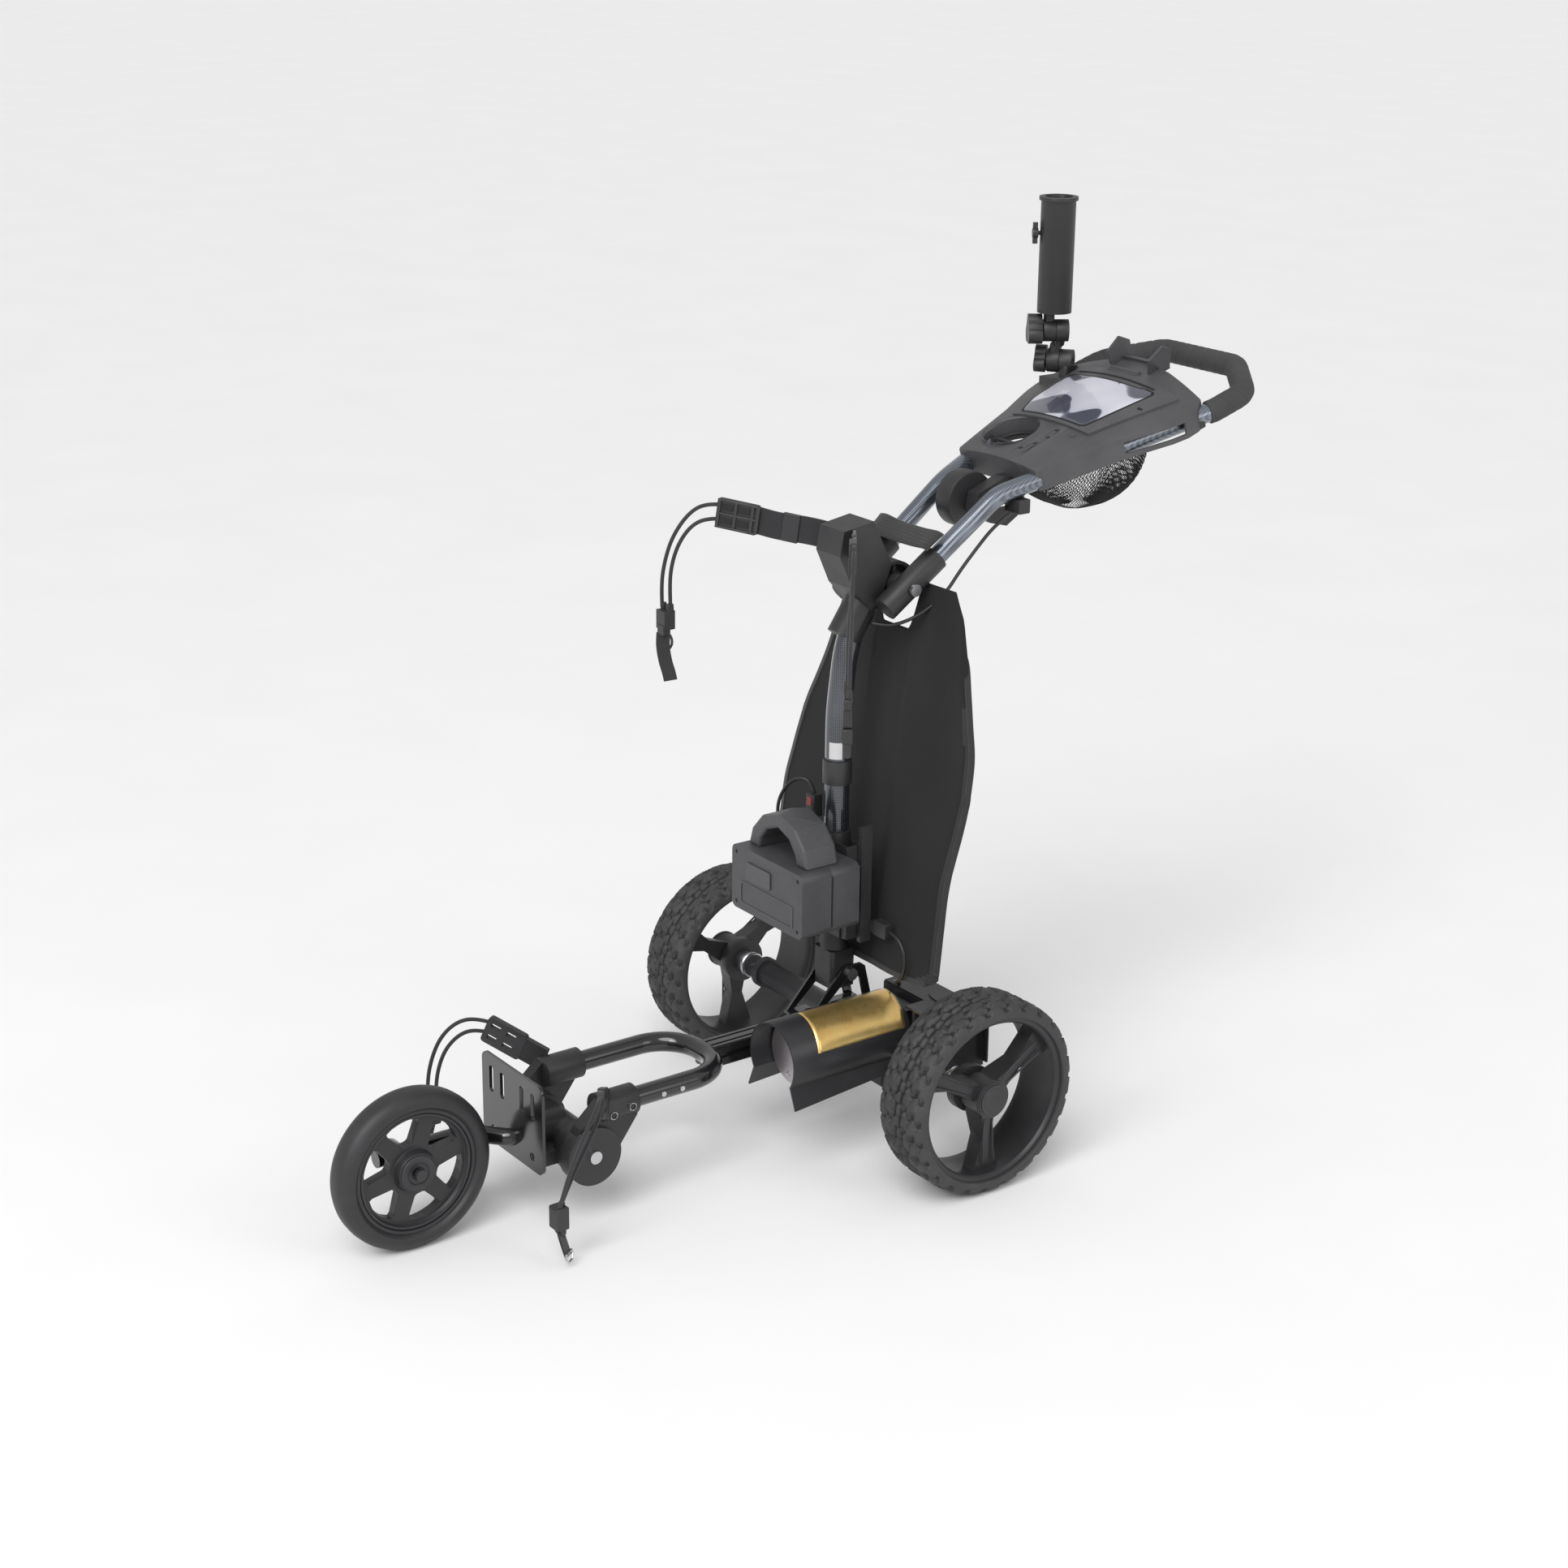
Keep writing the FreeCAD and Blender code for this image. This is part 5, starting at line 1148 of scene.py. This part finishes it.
# ------------------------------------------------------------------- battery
bm = bmesh.new()
out = rounded([(-48, 374), (10, 374), (10, 400), (-48, 400)], 5)
add_prism(bm, [(x, z) for x, z in out], 1.2, P(0, -149.9, 0), Vector((1, 0, 0)), Vector((0, 0, 1)))
gb = from_bm("gauge_bezel", bm, "grey", "battery")
bm = bmesh.new()
add_prism(bm, rounded([(-45, 377), (7, 377), (7, 397), (-45, 397)], 3), 0.5, P(0, -150.2, 0), Vector((1, 0, 0)), Vector((0, 0, 1)))
from_bm("gauge_face", bm, "mould", "battery")
bm = bmesh.new()
for k in range(5):
    add_box(bm, P(-36 + 5.0 * k, -150.4, 384), (2.6, 0.5, 2.0))
for k in range(5):
    add_box(bm, P(-36 + 5.0 * k, -150.4, 390), (1.6, 0.5, 1.6))
bevel(from_bm("gauge_bars", bm, "sticker", "battery"), 0.0002, 1)
bm = bmesh.new()
fr_o = rounded([(-62, 334), (62, 334), (62, 368), (-62, 368)], 6)
fr_i = rounded([(-59.5, 336.5), (59.5, 336.5), (59.5, 365.5), (-59.5, 365.5)], 4.5)
vo = [bm.verts.new(P(x, -149.0, z)) for x, z in fr_o]
vi = [bm.verts.new(P(x, -149.0, z)) for x, z in fr_i]
wo = [bm.verts.new(P(x, -150.0, z)) for x, z in fr_o]
wi = [bm.verts.new(P(x, -150.0, z)) for x, z in fr_i]
for k in range(len(vo)):
    j = (k + 1) % len(vo)
    bm.faces.new((wo[k], wo[j], wi[j], wi[k]))
    bm.faces.new((vo[k], vo[j], wo[j], wo[k]))
    bm.faces.new((wi[k], wi[j], vi[j], vi[k]))
from_bm("battery_panel_frame", bm, "grey", "battery")
bm = bmesh.new()
for x in (-83.4, 83.4):
    s_ = 1 if x > 0 else -1
    add_box(bm, P(s_ * 83.1, -98, 371), (0.9, 2.6, 74))
for x, z in ((-72, 334), (72, 334), (-72, 408), (72, 408)):
    add_cyl(bm, P(x, -147.4, z), (0, -1, 0), 2.7, 1.0, 16, 0.2)
bevel(from_bm("battery_seam", bm, "slotdark", "battery"), 0.0003, 1)
bm = bmesh.new()
add_box(bm, P(-33, -53.3, 474), (9, 1.2, 12))
bevel(from_bm("plug_red", bm, "red", "battery"), 0.0004, 2)

# ---------------------------------------------------------------- motor label
def on_cover(name, y0, y1, a0, a1, r, mat, body="chassis", n=24, slant=0.0):
    verts, faces = [], []
    for j in range(n + 1):
        a = math.radians(a0 + (a1 - a0) * j / n)
        for i in range(n + 1):
            y = y0 + (y1 - y0) * i / n + slant * (j / n - 0.5)
            verts.append(P(90 + r * math.cos(a), y, 165 + r * math.sin(a)))
    for j in range(n):
        for i in range(n):
            a_ = j * (n + 1) + i
            faces.append((a_, a_ + 1, a_ + n + 2, a_ + n + 1))
    o = obj_from(name, verts, faces, mat, body)
    so = o.modifiers.new("thick", "SOLIDIFY")
    so.thickness = 0.0003
    so.offset = -1
    return o


on_cover("motor_label", -155, -4, 18, 104, 52.45, "foil", slant=10)
bm = bmesh.new()
for a in (-100, -60):
    c = P(90 + 34 * math.cos(math.radians(a)), -170.2, 165 + 34 * math.sin(math.radians(a)))
    add_lathe(bm, c, (0, -1, 0), [(0, 3.4), (1.2, 3.2), (1.8, 2.2), (1.2, 1.4), (1.2, 0.1)], 20)
from_bm("motor_screws", bm, "steel", "chassis")

# ------------------------------------------------- mast strip, patch, screws
bm = bmesh.new()
add_prism(bm, rounded([(-9, 0), (9, 0), (9, 24), (-9, 24)], 1), 0.3, P(6.5, -46.6, 548), Vector((0.93, 0.37, 0)), Vector((0, 0, 1)))
verts, faces = [], []
for j in range(9):
    for i in range(13):
        a = math.radians(-78 + 62 * i / 12)
        verts.append(P(17.75 * math.cos(a), -30 + 17.75 * math.sin(a), 546 + 24 * j / 8))
for j in range(8):
    for i in range(12):
        a_ = j * 13 + i
        faces.append((a_, a_ + 1, a_ + 14, a_ + 13))
bm.free()
obj_from("mast_patch", verts, faces, "sticker", "mast")
bm = bmesh.new()
add_box(bm, P(57, -22, 372), (8, 18, 170))
for z in (298, 330, 400, 446):
    add_cyl(bm, P(57, -31.2, z), (0, -1, 0), 2.6, 1.4, 18, 0.3)
bevel(from_bm("bracket_strip", bm, "mould", "mast"), 0.001, 2)
bm = bmesh.new()
for s_ in (1, -1):
    for y, z in ((-430, 157), (-458, 150)):
        x0 = 92.4 if y == -430 else 89.5
        add_lathe(bm, P(s_ * x0, y, z), (s_, 0, 0), [(0, 5.2), (0.8, 4.8), (1.2, 2.6), (0.3, 2.5), (0.3, 0.1)], 6)
from_bm("housing_sockets", bm, "satin", "chassis")

# ------------------------------------------------------------ floor and light
bpy.ops.mesh.primitive_plane_add(size=140, location=(0, 0, 0))
floor = bpy.context.active_object
floor.name = "floor"
fm, fnt, fb = shader("floor")
fv = coords(fnt)
fnt.links.new(ramp(fnt, noise_tex(fnt, fv, 3, 3), [(0.3, (0.86, 0.86, 0.86)), (0.7, (0.88, 0.88, 0.88))]), fb.inputs["Base Color"])
fb.inputs["Roughness"].default_value = 0.9
floor.data.materials.append(fm)

world = bpy.data.worlds.new("studio")
scene.world = world
world.use_nodes = True
bg = world.node_tree.nodes["Background"]
bg.inputs[0].default_value = (1.0, 1.0, 1.0, 1)
bg.inputs[1].default_value = 0.60


def area_light(name, loc, target, size, power, sy=None):
    ld = bpy.data.lights.new(name, "AREA")
    ld.size = size
    ld.energy = power
    if sy:
        ld.shape = "RECTANGLE"
        ld.size_y = sy
    o = bpy.data.objects.new(name, ld)
    scene.collection.objects.link(o)
    o.location = loc
    o.rotation_mode = "QUATERNION"
    o.rotation_quaternion = (Vector(target) - Vector(loc)).to_track_quat("-Z", "Y")
    return o


sun_data = bpy.data.lights.new("soft_sun", "SUN")
sun_data.energy = 1.5
sun_data.angle = math.radians(38)
sun = bpy.data.objects.new("soft_sun", sun_data)
scene.collection.objects.link(sun)
sun.rotation_mode = "QUATERNION"
sun.rotation_quaternion = Vector((-0.50, 0.62, -0.95)).to_track_quat("-Z", "Y")
area_light("key", (1.2, -3.4, 2.6), (0, 0, 0.6), 1.4, 38)
area_light("side", (3.4, 1.0, 2.0), (0, 0, 0.6), 1.6, 16)

scene.view_settings.view_transform = "Standard"
